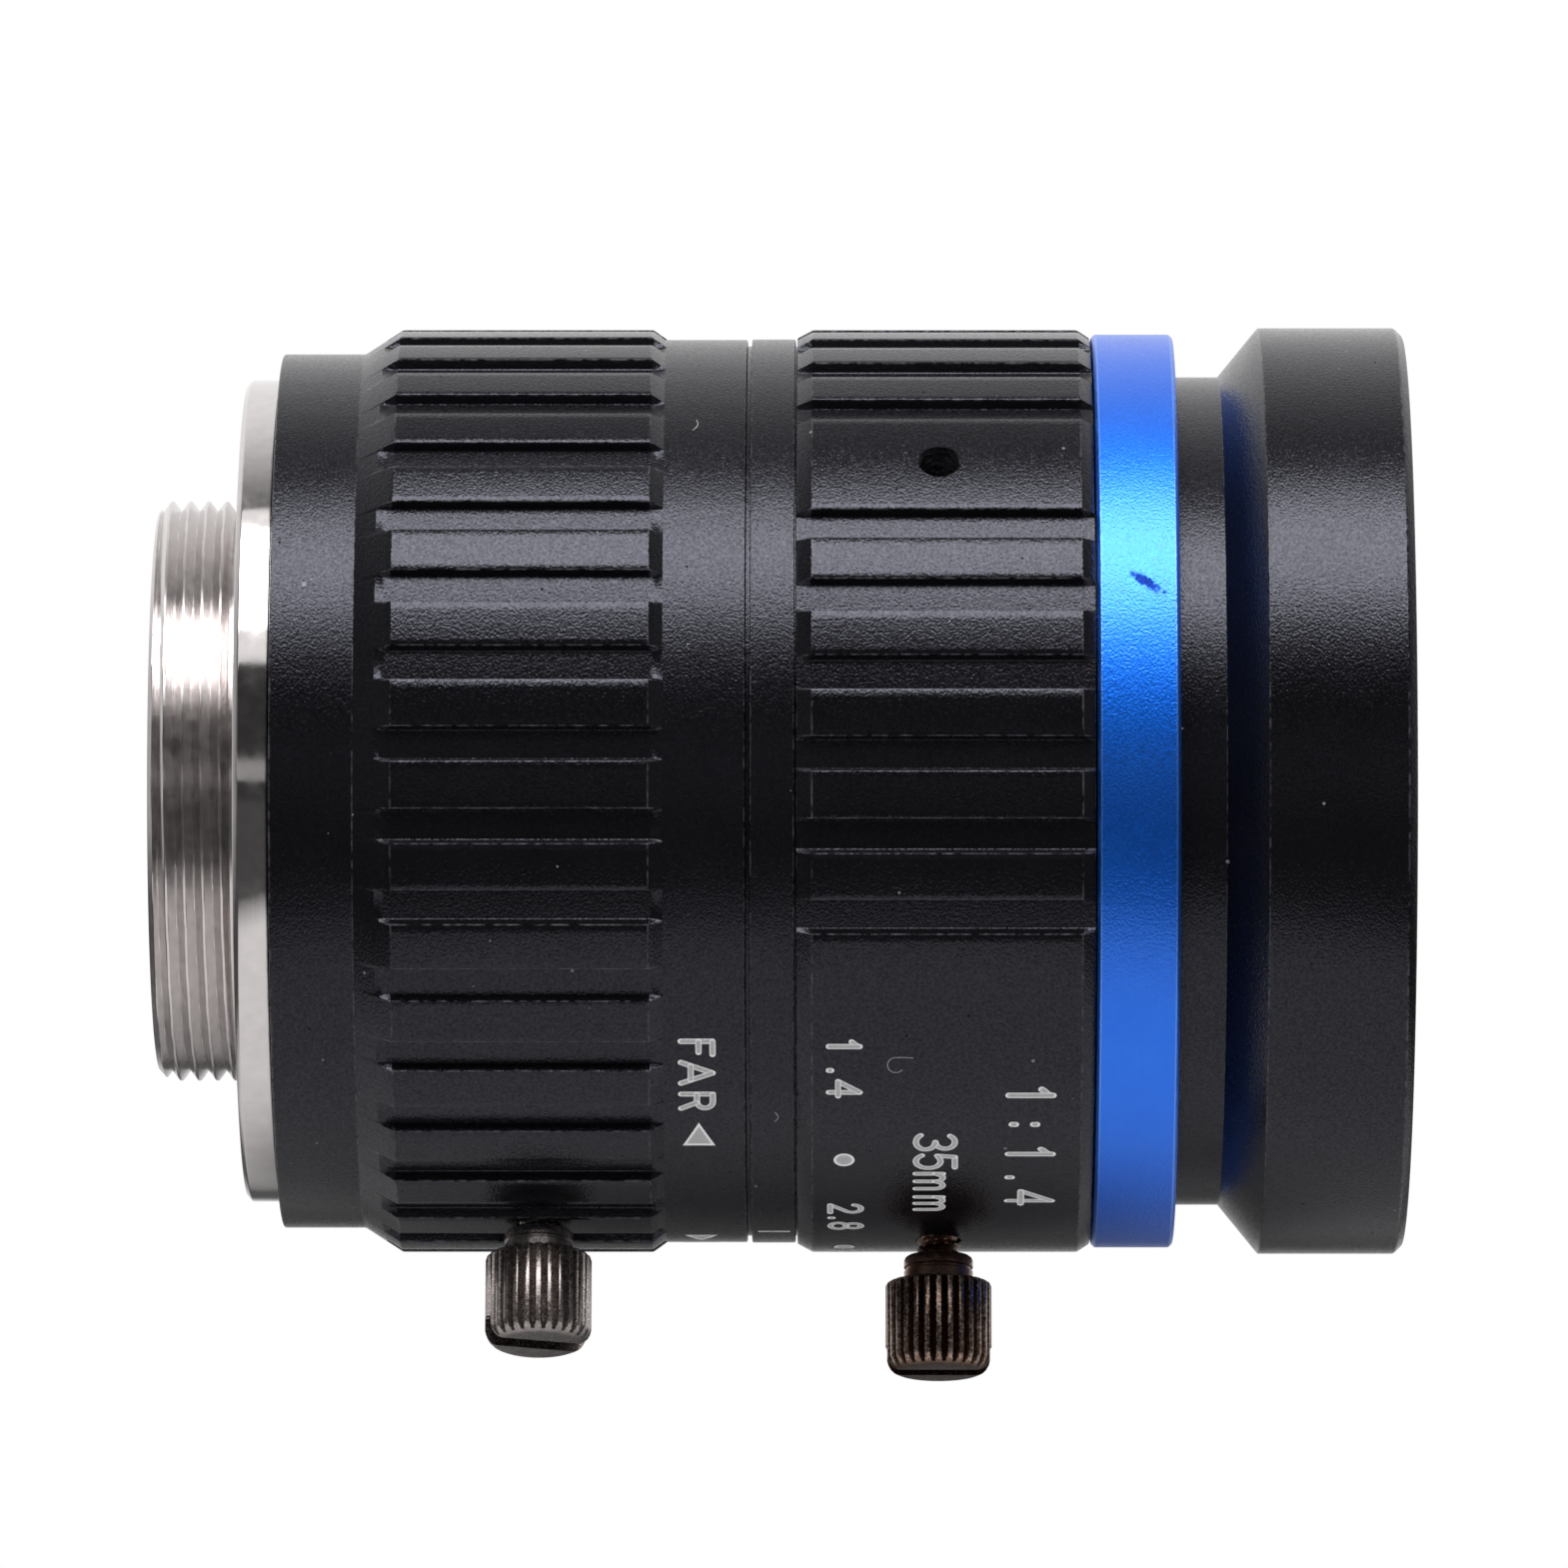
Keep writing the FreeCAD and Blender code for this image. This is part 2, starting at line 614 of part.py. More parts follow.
def mount_ring():
    """Plated brass ring: the thread's outer wall, the flange seat and a spigot for the sleeve."""
    return turned("c_mount_ring", [
        ("-thread_length", "light_bore_r"),
        ("-thread_length", "thread_r - thread_chamfer"),
        ("-thread_length + thread_chamfer", "thread_r"),
        ("0", "thread_r"),
        ("0", "flange_r - edge_chamfer"),
        ("edge_chamfer", "flange_r"),
        ("flange_thickness", "flange_r"),
        ("flange_thickness", "spigot_r"),
        ("flange_thickness + spigot_length", "spigot_r"),
        ("flange_thickness + spigot_length", "spigot_bore_r"),
        ("spigot_bore_rear", "spigot_bore_r"),
        ("spigot_bore_rear", "light_bore_r"),
    ])


def fixed_sleeve():
    """Sleeve that stands on the flange, with a slot at the top for the guide key."""
    body = tube("base_sleeve", "flange_thickness", "sleeve_front", "sleeve_bore_r", "sleeve_r")
    side_slot(body, "key_way", "key_floor_r", "key_way_rear", "key_way_front", "key_way_half")
    return body


def focus_ring():
    """Focus ring: rear band, cone, ribbed grip, scale band, and the inner lip that holds it."""
    body = turned("focus_ring", [
        ("focus_rear", "sleeve_run_r"),
        ("focus_rear", "rear_band_r - edge_chamfer"),
        ("focus_rear + edge_chamfer", "rear_band_r"),
        ("cone_start", "rear_band_r"),
        ("cone_end", "crest_r"),
        ("focus_rib_end", "crest_r"),
        ("band_start", "band_r"),
        ("focus_front - edge_chamfer", "band_r"),
        ("focus_front", "band_r - edge_chamfer"),
        ("focus_front", "ring_bore_r"),
        ("lip_end", "ring_bore_r"),
        ("lip_end", "sleeve_run_r"),
    ])
    grip_grooves(body, "focus_grooves", "band_start", "focus_groove_length",
                 number("focus_groove_turn"), GROOVE_COUNT)
    radial_hole(body, "focus_screw_hole", "focus_screw_x", number("focus_screw_turn"),
                "screw_hole_r", "sleeve_r")
    return body


def iris_ring():
    """Iris ring: ribbed part of the way round, plain where its scale is, with three screw holes."""
    body = turned("iris_ring", [
        ("iris_rear", "ring_bore_r"),
        ("iris_rear", "iris_rear_r"),
        ("iris_rib_start", "crest_r"),
        ("iris_rib_end", "crest_r"),
        ("iris_front", "iris_front_r"),
        ("iris_front", "ring_bore_r"),
    ])
    pitch = number("groove_pitch")
    first = number("iris_groove_turn")
    for name, count in IRIS_GROOVE_COUNTS.items():
        turn = first + IRIS_START_COUNTS[name] * pitch
        grip_grooves(body, name, "iris_front + run_gap", "iris_groove_length", turn, count)
    for index, radius in enumerate(("screw_hole_r", "tapped_hole_r", "tapped_hole_r")):
        turn = number("iris_screw_turn") - index * number("spare_hole_step")
        radial_hole(body, "lock_hole_%d" % index, "iris_screw_x", turn, radius, "sleeve_r")
    radial_hole(body, "drive_hole", "drive_screw_x", number("drive_screw_turn"),
                "drive_hole_r", "sleeve_r")
    return body


def lens_barrel():
    """Sliding barrel: rear tube, seat for the rings, iris seat, key pocket and the drive slot."""
    body = turned("main_barrel", [
        ("barrel_rear", "cell_bore_r"),
        ("barrel_rear", "barrel_run_r - edge_chamfer"),
        ("barrel_rear + edge_chamfer", "barrel_run_r"),
        ("index_rear", "barrel_run_r"),
        ("index_rear", "drive_r"),
        ("barrel_front", "drive_r"),
        ("barrel_front", "front_bore_r"),
        ("iris_seat", "front_bore_r"),
        ("iris_seat", "cell_bore_r"),
    ])
    side_slot(body, "key_pocket", "key_pocket_floor_r", "key_rear - seat_fit", "key_front + seat_fit",
              "key_pocket_half")
    swept_slot(body, "drive_slot", "housing_r", "crest_r")
    return body


def guide_key():
    """Key block in the barrel's pocket, which slides in the fixed sleeve's slot."""
    key = keep("guide_key", doc.addObject("Part::Box", "guide_key_block"))
    for side, formula in (("Length", "key_length"), ("Width", "key_width"), ("Height", "key_height")):
        key.setExpression(side, bind(formula))
    key.setExpression(".Placement.Base.x", bind("key_rear"))
    key.setExpression(".Placement.Base.y", bind("-0.5 * key_width"))
    key.setExpression(".Placement.Base.z", bind("key_pocket_floor_r + seat_fit"))
    return key


def front_barrel():
    """Front barrel: spigot, waisted neck, flared hood, filter thread wall and the glass seats."""
    return turned("front_barrel", [
        ("front_barrel_rear", "front_lip_r"),
        ("front_barrel_rear", "spigot_front_r"),
        ("barrel_front", "spigot_front_r"),
        ("blue_front", "spigot_front_r"),
        ("blue_front", "neck_r"),
        ("flare_start", "neck_r"),
        ("hood_start", "hood_r"),
        ("hood_front - hood_chamfer", "hood_r"),
        ("hood_front", "hood_r - hood_chamfer"),
        ("hood_front", "filter_r"),
        ("filter_floor", "filter_r"),
        ("filter_floor", "funnel_r"),
        ("funnel_start", "nut_bore_r"),
        ("nut_seat", "nut_bore_r"),
        ("nut_seat", "first_seat_r"),
        ("spacer_seat", "first_seat_r"),
        ("spacer_seat", "second_seat_r"),
        ("third_glass_rear_plane", "second_seat_r"),
        ("third_glass_rear_plane", "front_lip_r"),
    ])


def glass(node):
    """One glass: a disc that lies in, or is hollowed by, the balls of its two surfaces."""
    sizes = {key: node + "_" + key for key in GLASSES[node]}
    disc = doc.addObject("Part::Cylinder", node + "_disc")
    disc.Placement.Rotation = FreeCAD.Rotation(FreeCAD.Vector(0, 1, 0), 90)
    disc.setExpression("Radius", bind(sizes["rim_r"]))
    disc.setExpression("Height", bind(sizes["front_plane"] + " - " + sizes["rear_plane"]))
    disc.setExpression(".Placement.Base.x", bind(sizes["rear_plane"]))
    shape = disc
    for side, form in zip(("front", "rear"), GLASS_FORMS[node]):
        ball = doc.addObject("Part::Sphere", node + "_" + side + "_ball")
        ball.Placement.Rotation = FreeCAD.Rotation(FreeCAD.Vector(0, 1, 0), 90)
        ball.setExpression("Radius", bind(sizes[side + "_curve"]))
        forwards = (side == "rear") == (form == "ball")
        sign = " + " if forwards else " - "
        ball.setExpression(".Placement.Base.x", bind(sizes[side + "_top"] + sign + sizes[side + "_curve"]))
        both = doc.addObject("Part::Common" if form == "ball" else "Part::Cut", node + "_" + side)
        both.Base = shape
        both.Tool = ball
        shape = both
    return keep(node, shape)


def lock_screw(node, station, turn, stand, spin):
    """Thumb screw: shank, collar, knurled head and driver slot, pointing out at an angle."""
    body = new_body(node)
    sketch = new_sketch(body, node + "_outline")
    outline(sketch, [
        ("0", "0"),
        ("0", "screw_r"),
        ("shank_length", "screw_r"),
        ("shank_length", "collar_r"),
        ("head_base", "collar_r"),
        ("head_base", "head_r - head_chamfer"),
        ("head_base + head_chamfer", "head_r"),
        ("head_end - head_chamfer", "head_r"),
        ("head_end", "head_r - head_chamfer"),
        ("head_end", "0"),
    ])
    turn_feature = body.newObject("PartDesign::Revolution", node + "_turn")
    turn_feature.Profile = sketch
    turn_feature.ReferenceAxis = (sketch, ["H_Axis"])
    turn_feature.Angle = 360
    doc.recompute()
    slot = new_sketch(body, node + "_slot_shape")
    outline(slot, [
        ("slot_floor", "-driver_slot_half"),
        ("slot_floor", "driver_slot_half"),
        ("head_end + head_chamfer", "driver_slot_half"),
        ("head_end + head_chamfer", "-driver_slot_half"),
    ])
    cut = body.newObject("PartDesign::Pocket", node + "_slot")
    cut.Profile = slot
    cut.Midplane = True
    cut.Length = REACH * number("head_r")
    cut_away(body, cut)
    flute = new_sketch(body, node + "_flute_shape", "YZ_Plane")
    flute.AttachmentOffset = FreeCAD.Placement(FreeCAD.Vector(0, 0, number("head_end")), FreeCAD.Rotation())
    flute.setExpression(".AttachmentOffset.Base.z", bind("head_end"))
    outline(flute, [
        ("flute_floor_r", "0"),
        ("flute_open_r", "-flute_half"),
        ("flute_open_r", "flute_half"),
    ])
    groove = body.newObject("PartDesign::Pocket", node + "_flute")
    groove.Profile = flute
    groove.Length = number("head_length")
    groove.setExpression("Length", bind("head_length"))
    cut_away(body, groove)
    knurl = body.newObject("PartDesign::PolarPattern", node + "_knurl")
    knurl.Originals = [groove]
    knurl.Axis = (next(item for item in body.Origin.OriginFeatures if item.Role == "X_Axis"), [""])
    knurl.Angle = 360
    knurl.Occurrences = KNURL_COUNT
    doc.recompute()
    body.Tip = knurl
    aim_outwards(body, station, turn, stand + " - shank_length", spin)
    return body


def aim_outwards(item, station, turn, radius, spin):
    """Points a piece drawn along +X square out from the axis, at a radius and a spin of its own."""
    aim = FreeCAD.Rotation(FreeCAD.Vector(1, 0, 0), number(turn))
    lift = FreeCAD.Rotation(FreeCAD.Vector(0, 0, 1), 90)
    own_turn = FreeCAD.Rotation(FreeCAD.Vector(1, 0, 0), number(spin))
    item.Placement = FreeCAD.Placement(FreeCAD.Vector(0, 0, 0), aim.multiply(lift).multiply(own_turn))
    item.setExpression(".Placement.Base.x", bind(station))
    item.setExpression(".Placement.Base.y", "(" + bind(radius) + ") * cos(" + bind(turn) + " * 1deg)")
    item.setExpression(".Placement.Base.z", "(" + bind(radius) + ") * sin(" + bind(turn) + " * 1deg)")


def round_pin(node, station, turn, inner, length, radius):
    """A plain round pin that points square out from the axis."""
    pin = keep(node, doc.addObject("Part::Cylinder", node + "_pin"))
    pin.setExpression("Radius", bind(radius))
    pin.setExpression("Height", bind(length))
    aim = FreeCAD.Rotation(FreeCAD.Vector(1, 0, 0), number(turn) - 90)
    pin.Placement = FreeCAD.Placement(FreeCAD.Vector(0, 0, 0), aim)
    pin.setExpression(".Placement.Base.x", bind(station))
    pin.setExpression(".Placement.Base.y", "(" + bind(inner) + ") * cos(" + bind(turn) + " * 1deg)")
    pin.setExpression(".Placement.Base.z", "(" + bind(inner) + ") * sin(" + bind(turn) + " * 1deg)")
    return pin


def iris_housing():
    """Cup for the blades: a plate with the pivot holes and a wall that guides the cam ring."""
    body = turned("iris_housing", [
        ("iris_seat", "plate_opening_r"),
        ("iris_seat", "housing_r"),
        ("housing_ring_front", "housing_r"),
        ("housing_ring_front", "housing_bore_r"),
        ("pivot_plane", "housing_bore_r"),
        ("pivot_plane", "plate_opening_r"),
    ])
    sketch = new_sketch(body, "pivot_hole_circle", "YZ_Plane")
    turn = FreeCAD.Rotation(FreeCAD.Vector(0, 0, 1), number("pivot_turn"))
    sketch.AttachmentOffset = FreeCAD.Placement(FreeCAD.Vector(0, 0, number("pivot_plane")), turn)
    sketch.setExpression(".AttachmentOffset.Base.z", bind("pivot_plane"))
    circle = sketch.addGeometry(Part.Circle(FreeCAD.Vector(number("pivot_r"), 0, 0),
                                            FreeCAD.Vector(0, 0, 1), number("pivot_hole_r")), False)
    index = sketch.addConstraint(Sketcher.Constraint("Radius", circle, number("pivot_hole_r")))
    sketch.setExpression("Constraints[%d]" % index, bind("pivot_hole_r"))
    sketch.addConstraint(Sketcher.Constraint("PointOnObject", circle, 3, -1))
    index = sketch.addConstraint(Sketcher.Constraint("DistanceX", -1, 1, circle, 3, number("pivot_r")))
    sketch.setExpression("Constraints[%d]" % index, bind("pivot_r"))
    holes = body.newObject("PartDesign::Pocket", "pivot_hole")
    holes.Profile = sketch
    holes.Length = number("plate_thickness")
    holes.setExpression("Length", bind("plate_thickness"))
    cut_away(body, holes)
    ring = body.newObject("PartDesign::PolarPattern", "pivot_holes")
    ring.Originals = [holes]
    ring.Axis = (next(item for item in body.Origin.OriginFeatures if item.Role == "X_Axis"), [""])
    ring.Angle = 360
    ring.Occurrences = BLADE_COUNT
    doc.recompute()
    body.Tip = ring
    swept_slot(body, "housing_slot", "cam_inside_r", "crest_r")
    return body


def blade_pin_place(lean):
    """Where a blade's drive pin is, as radius and turn from the blade's pivot, at one lean."""
    across = number("pivot_r") * math.sin(math.radians(lean)) - number("drive_pin_x")
    up = number("pivot_r") * math.cos(math.radians(lean)) + number("drive_pin_y")
    return math.hypot(across, up), math.degrees(math.atan2(across, up)) - lean


def lean_at(turn):
    """The blades' lean when the iris ring stands at a turn from rest."""
    swing = number("closed_lean") - number("open_lean")
    share = (number("iris_open_turn") - turn) / (number("iris_open_turn") + number("iris_close_turn"))
    return number("open_lean") + swing * share


def cam_slot_wire():
    """The outline of one spiral slot: the drive pin's path in the turning ring, given its width."""
    half = number("cam_slot_width") / 2
    spare = number("cam_slot_spare_turn")
    first = -number("iris_close_turn") - spare
    last = number("iris_open_turn") + spare
    sides = ([], [])
    for step in range(CAM_SLOT_POINTS):
        turn = first + (last - first) * step / (CAM_SLOT_POINTS - 1)
        spots = []
        for shift in (-0.5, 0.0, 0.5):
            radius, angle = blade_pin_place(lean_at(turn + shift))
            way = math.radians(angle - turn - shift + number("pivot_turn"))
            spots.append((radius * math.cos(way), radius * math.sin(way)))
        run = math.hypot(spots[2][0] - spots[0][0], spots[2][1] - spots[0][1])
        normal = ((spots[0][1] - spots[2][1]) / run, (spots[2][0] - spots[0][0]) / run)
        for side, sign in zip(sides, (1, -1)):
            side.append(FreeCAD.Vector(0, spots[1][0] + sign * half * normal[0],
                                       spots[1][1] + sign * half * normal[1]))
    curves = []
    for side in sides:
        curve = Part.BSplineCurve()
        curve.interpolate(side)
        curves.append(curve.toShape())
    caps = [Part.LineSegment(sides[0][end], sides[1][end]).toShape() for end in (0, -1)]
    return Part.Wire([curves[0], caps[1], curves[1], caps[0]])


def cam_ring():
    """Cam ring: nine nested spiral slots for the blades' pins and a notch for the drive screw."""
    ring = doc.addObject("Part::Cylinder", "cam_disc")
    hole = doc.addObject("Part::Cylinder", "cam_opening")
    for item, radius in ((ring, "cam_r"), (hole, "cam_opening_r")):
        item.Placement.Rotation = FreeCAD.Rotation(FreeCAD.Vector(0, 1, 0), 90)
        item.setExpression("Radius", bind(radius))
        item.setExpression("Height", bind("cam_thickness"))
        item.setExpression(".Placement.Base.x", bind("cam_rear"))
    slot = Part.Face(cam_slot_wire()).extrude(FreeCAD.Vector(2 * number("cam_thickness"), 0, 0))
    tools = [hole]
    for index in range(BLADE_COUNT):
        tool = doc.addObject("Part::Feature", "cam_slot_%d" % index)
        tool.Shape = slot
        turn = FreeCAD.Rotation(FreeCAD.Vector(1, 0, 0), 360.0 * index / BLADE_COUNT)
        start = number("cam_rear") - 0.5 * number("cam_thickness")
        tool.Placement = FreeCAD.Placement(FreeCAD.Vector(start, 0, 0), turn)
        tools.append(tool)
    notch = doc.addObject("Part::Box", "cam_notch")
    notch.setExpression("Length", bind("2 * cam_thickness"))
    notch.setExpression("Width", bind("2 * drive_hole_r"))
    notch.setExpression("Height", bind("pivot_r"))
    aim = FreeCAD.Rotation(FreeCAD.Vector(1, 0, 0), number("drive_screw_turn") - 90)
    corner = FreeCAD.Vector(number("cam_rear") - 0.5 * number("cam_thickness"),
                            -number("drive_hole_r"), number("notch_floor_r"))
    notch.Placement = FreeCAD.Placement(aim.multVec(corner), aim)
    tools.append(notch)
    fused = doc.addObject("Part::MultiFuse", "cam_openings")
    fused.Shapes = tools
    cut = doc.addObject("Part::Cut", "cam_ring_cut")
    cut.Base = ring
    cut.Tool = fused
    return keep("iris_cam_ring", cut)


def iris_blade(index):
    """One blade: a tilted leaf trimmed to its swing circle, with a pivot pin and a drive pin.

    Its own frame has the pivot at the origin, the leaf along +X, its outer side +Y, and +Z
    towards the front of the lens. The tilt lets each leaf pass over the next one.
    """
    name = "blade_%d_" % index
    leaf = doc.addObject("Part::Box", name + "leaf")
    leaf.setExpression("Length", bind("blade_length + blade_ear"))
    leaf.setExpression("Width", bind("blade_width"))
    leaf.setExpression("Height", bind("blade_thickness"))
    tilt = FreeCAD.Rotation(FreeCAD.Vector(0, 1, 0), -number("blade_rise"))
    corner = FreeCAD.Vector(-number("blade_ear"), -number("blade_edge_offset"), 0)
    leaf.Placement = FreeCAD.Placement(tilt.multVec(corner), tilt)
    swing = doc.addObject("Part::Cylinder", name + "swing")
    swing.setExpression("Radius", bind("blade_swing_r"))
    depth = REACH * number("cam_thickness")
    swing.Height = depth
    swing.Placement.Base.z = -0.5 * depth
    lean = " * 1deg)"
    swing.setExpression(".Placement.Base.x", bind("pivot_r * sin(open_lean") + lean)
    swing.setExpression(".Placement.Base.y", bind("-1 * pivot_r * cos(open_lean") + lean)
    trimmed = doc.addObject("Part::Common", name + "trimmed")
    trimmed.Base = leaf
    trimmed.Tool = swing
    corner_cut = doc.addObject("Part::Box", name + "tip_cut")
    corner_cut.Length = number("blade_length")
    corner_cut.Width = number("blade_length")
    corner_cut.Height = depth
    corner_cut.Placement = FreeCAD.Placement(
        FreeCAD.Vector(number("blade_tip_x"), number("blade_tip_y"), -0.5 * depth),
        FreeCAD.Rotation(FreeCAD.Vector(0, 0, 1), number("blade_tip_turn")))
    shaped = doc.addObject("Part::Cut", name + "shaped")
    shaped.Base = trimmed
    shaped.Tool = corner_cut
    pivot = doc.addObject("Part::Cylinder", name + "pivot")
    pivot.setExpression("Radius", bind("pivot_pin_r"))
    pivot.setExpression("Height", bind("pivot_pin_length"))
    pivot.setExpression(".Placement.Base.z", bind("0.5 * blade_thickness - pivot_pin_length"))
    drive = doc.addObject("Part::Cylinder", name + "drive")
    drive.setExpression("Radius", bind("drive_pin_r"))
    drive.setExpression("Height", bind("drive_pin_length"))
    drive.setExpression(".Placement.Base.x", bind("drive_pin_x"))
    drive.setExpression(".Placement.Base.y", bind("drive_pin_y"))
    drive.setExpression(".Placement.Base.z", bind("drive_pin_base"))
    fused = doc.addObject("Part::MultiFuse", name + "fused")
    fused.Shapes = [shaped, pivot, drive]
    beta = number("pivot_turn") + 360.0 * index / BLADE_COUNT
    axes = FreeCAD.Rotation(FreeCAD.Vector(1, 1, 1), 120)
    swing_turn = FreeCAD.Rotation(FreeCAD.Vector(1, 0, 0), beta - lean_at(0) - 90)
    spot = FreeCAD.Vector(number("pivot_plane") + number("blade_lift"),
                          number("pivot_r") * math.cos(math.radians(beta)),
                          number("pivot_r") * math.sin(math.radians(beta)))
    fused.Placement = FreeCAD.Placement(spot, swing_turn.multiply(axes))
    return keep("iris_blade_%d" % (index + 1), fused)


def front_nut():
    """Ring nut that holds the front glass, with two slots for a spanner."""
    body = tube("front_retaining_ring", "nut_rear", "nut_front", "nut_opening_r", "nut_r")
    sketch = new_sketch(body, "nut_slot_shape")
    outline(sketch, [
        ("nut_slot_floor", "-nut_slot_half"),
        ("nut_slot_floor", "nut_slot_half"),
        ("nut_front + run_gap", "nut_slot_half"),
        ("nut_front + run_gap", "-nut_slot_half"),
    ])
    cut = body.newObject("PartDesign::Pocket", "nut_slot")
    cut.Profile = sketch
    cut.Midplane = True
    cut.Length = REACH * number("nut_bore_r")
    cut_away(body, cut)
    return body


def build():
    """Builds every sub-part, from the mount forwards."""
    mount_ring()
    fixed_sleeve()
    tube("focus_retainer", "retainer_rear", "retainer_front", "retainer_bore_r", "retainer_r")
    focus_ring()
    turned("drive_sleeve", [
        ("drive_sleeve_rear", "sleeve_run_r"),
        ("drive_sleeve_rear", "drive_r"),
        ("index_rear", "drive_r"),
        ("index_rear", "drive_web_bore_r"),
        ("drive_web_rear", "drive_web_bore_r"),
        ("drive_web_rear", "sleeve_run_r"),
    ])
    guide_key()
    lens_barrel()
    turned("index_ring", [
        ("index_rear", "ring_seat_r"),
        ("index_rear", "index_r - seat_fit"),
        ("index_rear + seat_fit", "index_r"),
        ("index_front - seat_fit", "index_r"),
        ("index_front", "index_r - seat_fit"),
        ("index_front", "ring_seat_r"),
    ])
    iris_ring()
    turned("blue_ring", [
        ("blue_rear", "ring_seat_r"),
        ("blue_rear", "blue_r - blue_chamfer"),
        ("blue_rear + blue_chamfer", "blue_r"),
        ("blue_front - blue_chamfer", "blue_r"),
        ("blue_front", "blue_r - blue_chamfer"),
        ("blue_front", "ring_seat_r"),
    ])
    front_barrel()
    front_nut()
    tube("front_spacer", "front_spacer_rear", "front_spacer_front", "front_spacer_opening_r",
         "front_glass_rim_r")
    turned("rear_cell", [
        ("cell_rear", "rear_seat_r"),
        ("cell_rear", "cell_r"),
        ("cell_front", "cell_r"),
        ("cell_front", "cell_lip_r"),
        ("fourth_glass_front_plane", "cell_lip_r"),
        ("fourth_glass_front_plane", "fourth_seat_r"),
        ("sixth_step", "fourth_seat_r"),
        ("sixth_step", "sixth_seat_r"),
        ("rear_step", "sixth_seat_r"),
        ("rear_step", "rear_seat_r"),
    ])
    tube("rear_spacer_front", "spacer_a_rear", "spacer_a_front", "spacer_opening_r", "fifth_glass_rim_r")
    tube("rear_spacer_back", "spacer_b_rear", "spacer_b_front", "spacer_opening_r", "sixth_glass_rim_r")
    tube("rear_retaining_ring", "cell_rear", "rear_nut_front", "spacer_opening_r", "rear_glass_rim_r")
    for node in GLASSES:
        glass(node)
    iris_housing()
    tube("iris_retaining_ring", "housing_ring_rear", "housing_ring_front", "housing_ring_opening_r",
         "housing_ring_r")
    cam_ring()
    round_pin("iris_drive_screw", "drive_screw_x", "drive_screw_turn", "drive_screw_tip_r",
              "drive_screw_length", "drive_screw_r")
    for index in range(BLADE_COUNT):
        iris_blade(index)
    for which in ("focus", "iris"):
        station = which + "_screw_x"
        turn = which + "_screw_turn"
        stand = which + "_screw_stand"
        lock_screw(which + "_lock_screw", station, turn, stand, which + "_screw_spin")
        round_pin(which + "_lock_pad", station, turn, stand + " - shank_length - pad_length",
                  "pad_length", "screw_r")


def write():
    """Checks every object, then writes one file for each sub-part."""
    doc.recompute()
    for item in doc.Objects:
        if "Invalid" in item.State or "Error" in item.State:
            raise RuntimeError("%s failed" % item.Name)
    for node, item in parts.items():
        if item.Shape.isNull() or not item.Shape.isValid():
            raise RuntimeError("%s has no sound shape" % node)
    os.makedirs("parts", exist_ok=True)
    for node, item in parts.items():
        item.Shape.exportStep("parts/%s.step" % node)
        print(node, len(item.Shape.Solids), round(item.Shape.Volume, 3))


build()
write()
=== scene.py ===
import json
import math

import bmesh
import bpy
import numpy as np
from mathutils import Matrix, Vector


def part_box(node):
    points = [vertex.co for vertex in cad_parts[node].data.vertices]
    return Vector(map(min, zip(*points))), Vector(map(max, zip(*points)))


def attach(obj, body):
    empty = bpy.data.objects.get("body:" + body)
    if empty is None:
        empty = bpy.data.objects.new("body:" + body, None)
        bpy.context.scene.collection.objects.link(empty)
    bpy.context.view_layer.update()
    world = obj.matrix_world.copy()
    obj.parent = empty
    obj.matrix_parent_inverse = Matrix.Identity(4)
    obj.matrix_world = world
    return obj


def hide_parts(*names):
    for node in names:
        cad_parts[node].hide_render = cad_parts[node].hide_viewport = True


# Looks for a machine vision lens: turned and anodised rings with grip ribs, a plated thread,
# knurled lock screws, laser marks, glasses and a nine-blade iris. Lengths in this file are
# millimetres; metres() turns them into Blender's units. Turns are in degrees about +X, from
# +Y towards +Z, so 180 faces the photograph's camera.

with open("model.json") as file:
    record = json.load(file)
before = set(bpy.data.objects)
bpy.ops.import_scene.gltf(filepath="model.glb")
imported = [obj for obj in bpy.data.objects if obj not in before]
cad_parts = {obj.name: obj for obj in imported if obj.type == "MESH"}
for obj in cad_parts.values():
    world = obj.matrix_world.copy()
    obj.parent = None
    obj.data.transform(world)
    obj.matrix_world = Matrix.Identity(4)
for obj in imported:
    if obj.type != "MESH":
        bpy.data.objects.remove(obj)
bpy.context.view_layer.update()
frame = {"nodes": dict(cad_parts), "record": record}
NEW_PIECES = []  # pairs of a piece and its material slot


def span(node):
    """The stations at which a CAD node starts and ends along the axis, in millimetres."""
    return [corner[0] * 1000.0 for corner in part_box(node)]


# Stations along the axis, read from the frame.
THREAD_REAR, MOUNT_FRONT = span("c_mount_ring")
FOCUS_REAR, FOCUS_FRONT = span("focus_ring")
INDEX_REAR, INDEX_FRONT = span("index_ring")
IRIS_REAR, IRIS_FRONT = span("iris_ring")
BLUE_REAR, BLUE_FRONT = span("blue_ring")
HOOD_REAR, HOOD_FRONT = span("front_barrel")
FOCUS_GAP = 0.08
FLANGE_FRONT = FOCUS_REAR - FOCUS_GAP

# Radii of the turned rings.
THREAD_R = 12.7
FLANGE_R = 18.0
REAR_BAND_R = 19.14
FLOOR_R = 19.74
CREST_R = 20.2
BAND_R = 19.77
RING_BORE_R = 18.0
INDEX_R = 19.79
BLUE_R = 20.0
SEAT_R = 17.97
NECK_R = 18.13
HOOD_R = 20.28
FILTER_R = 18.1

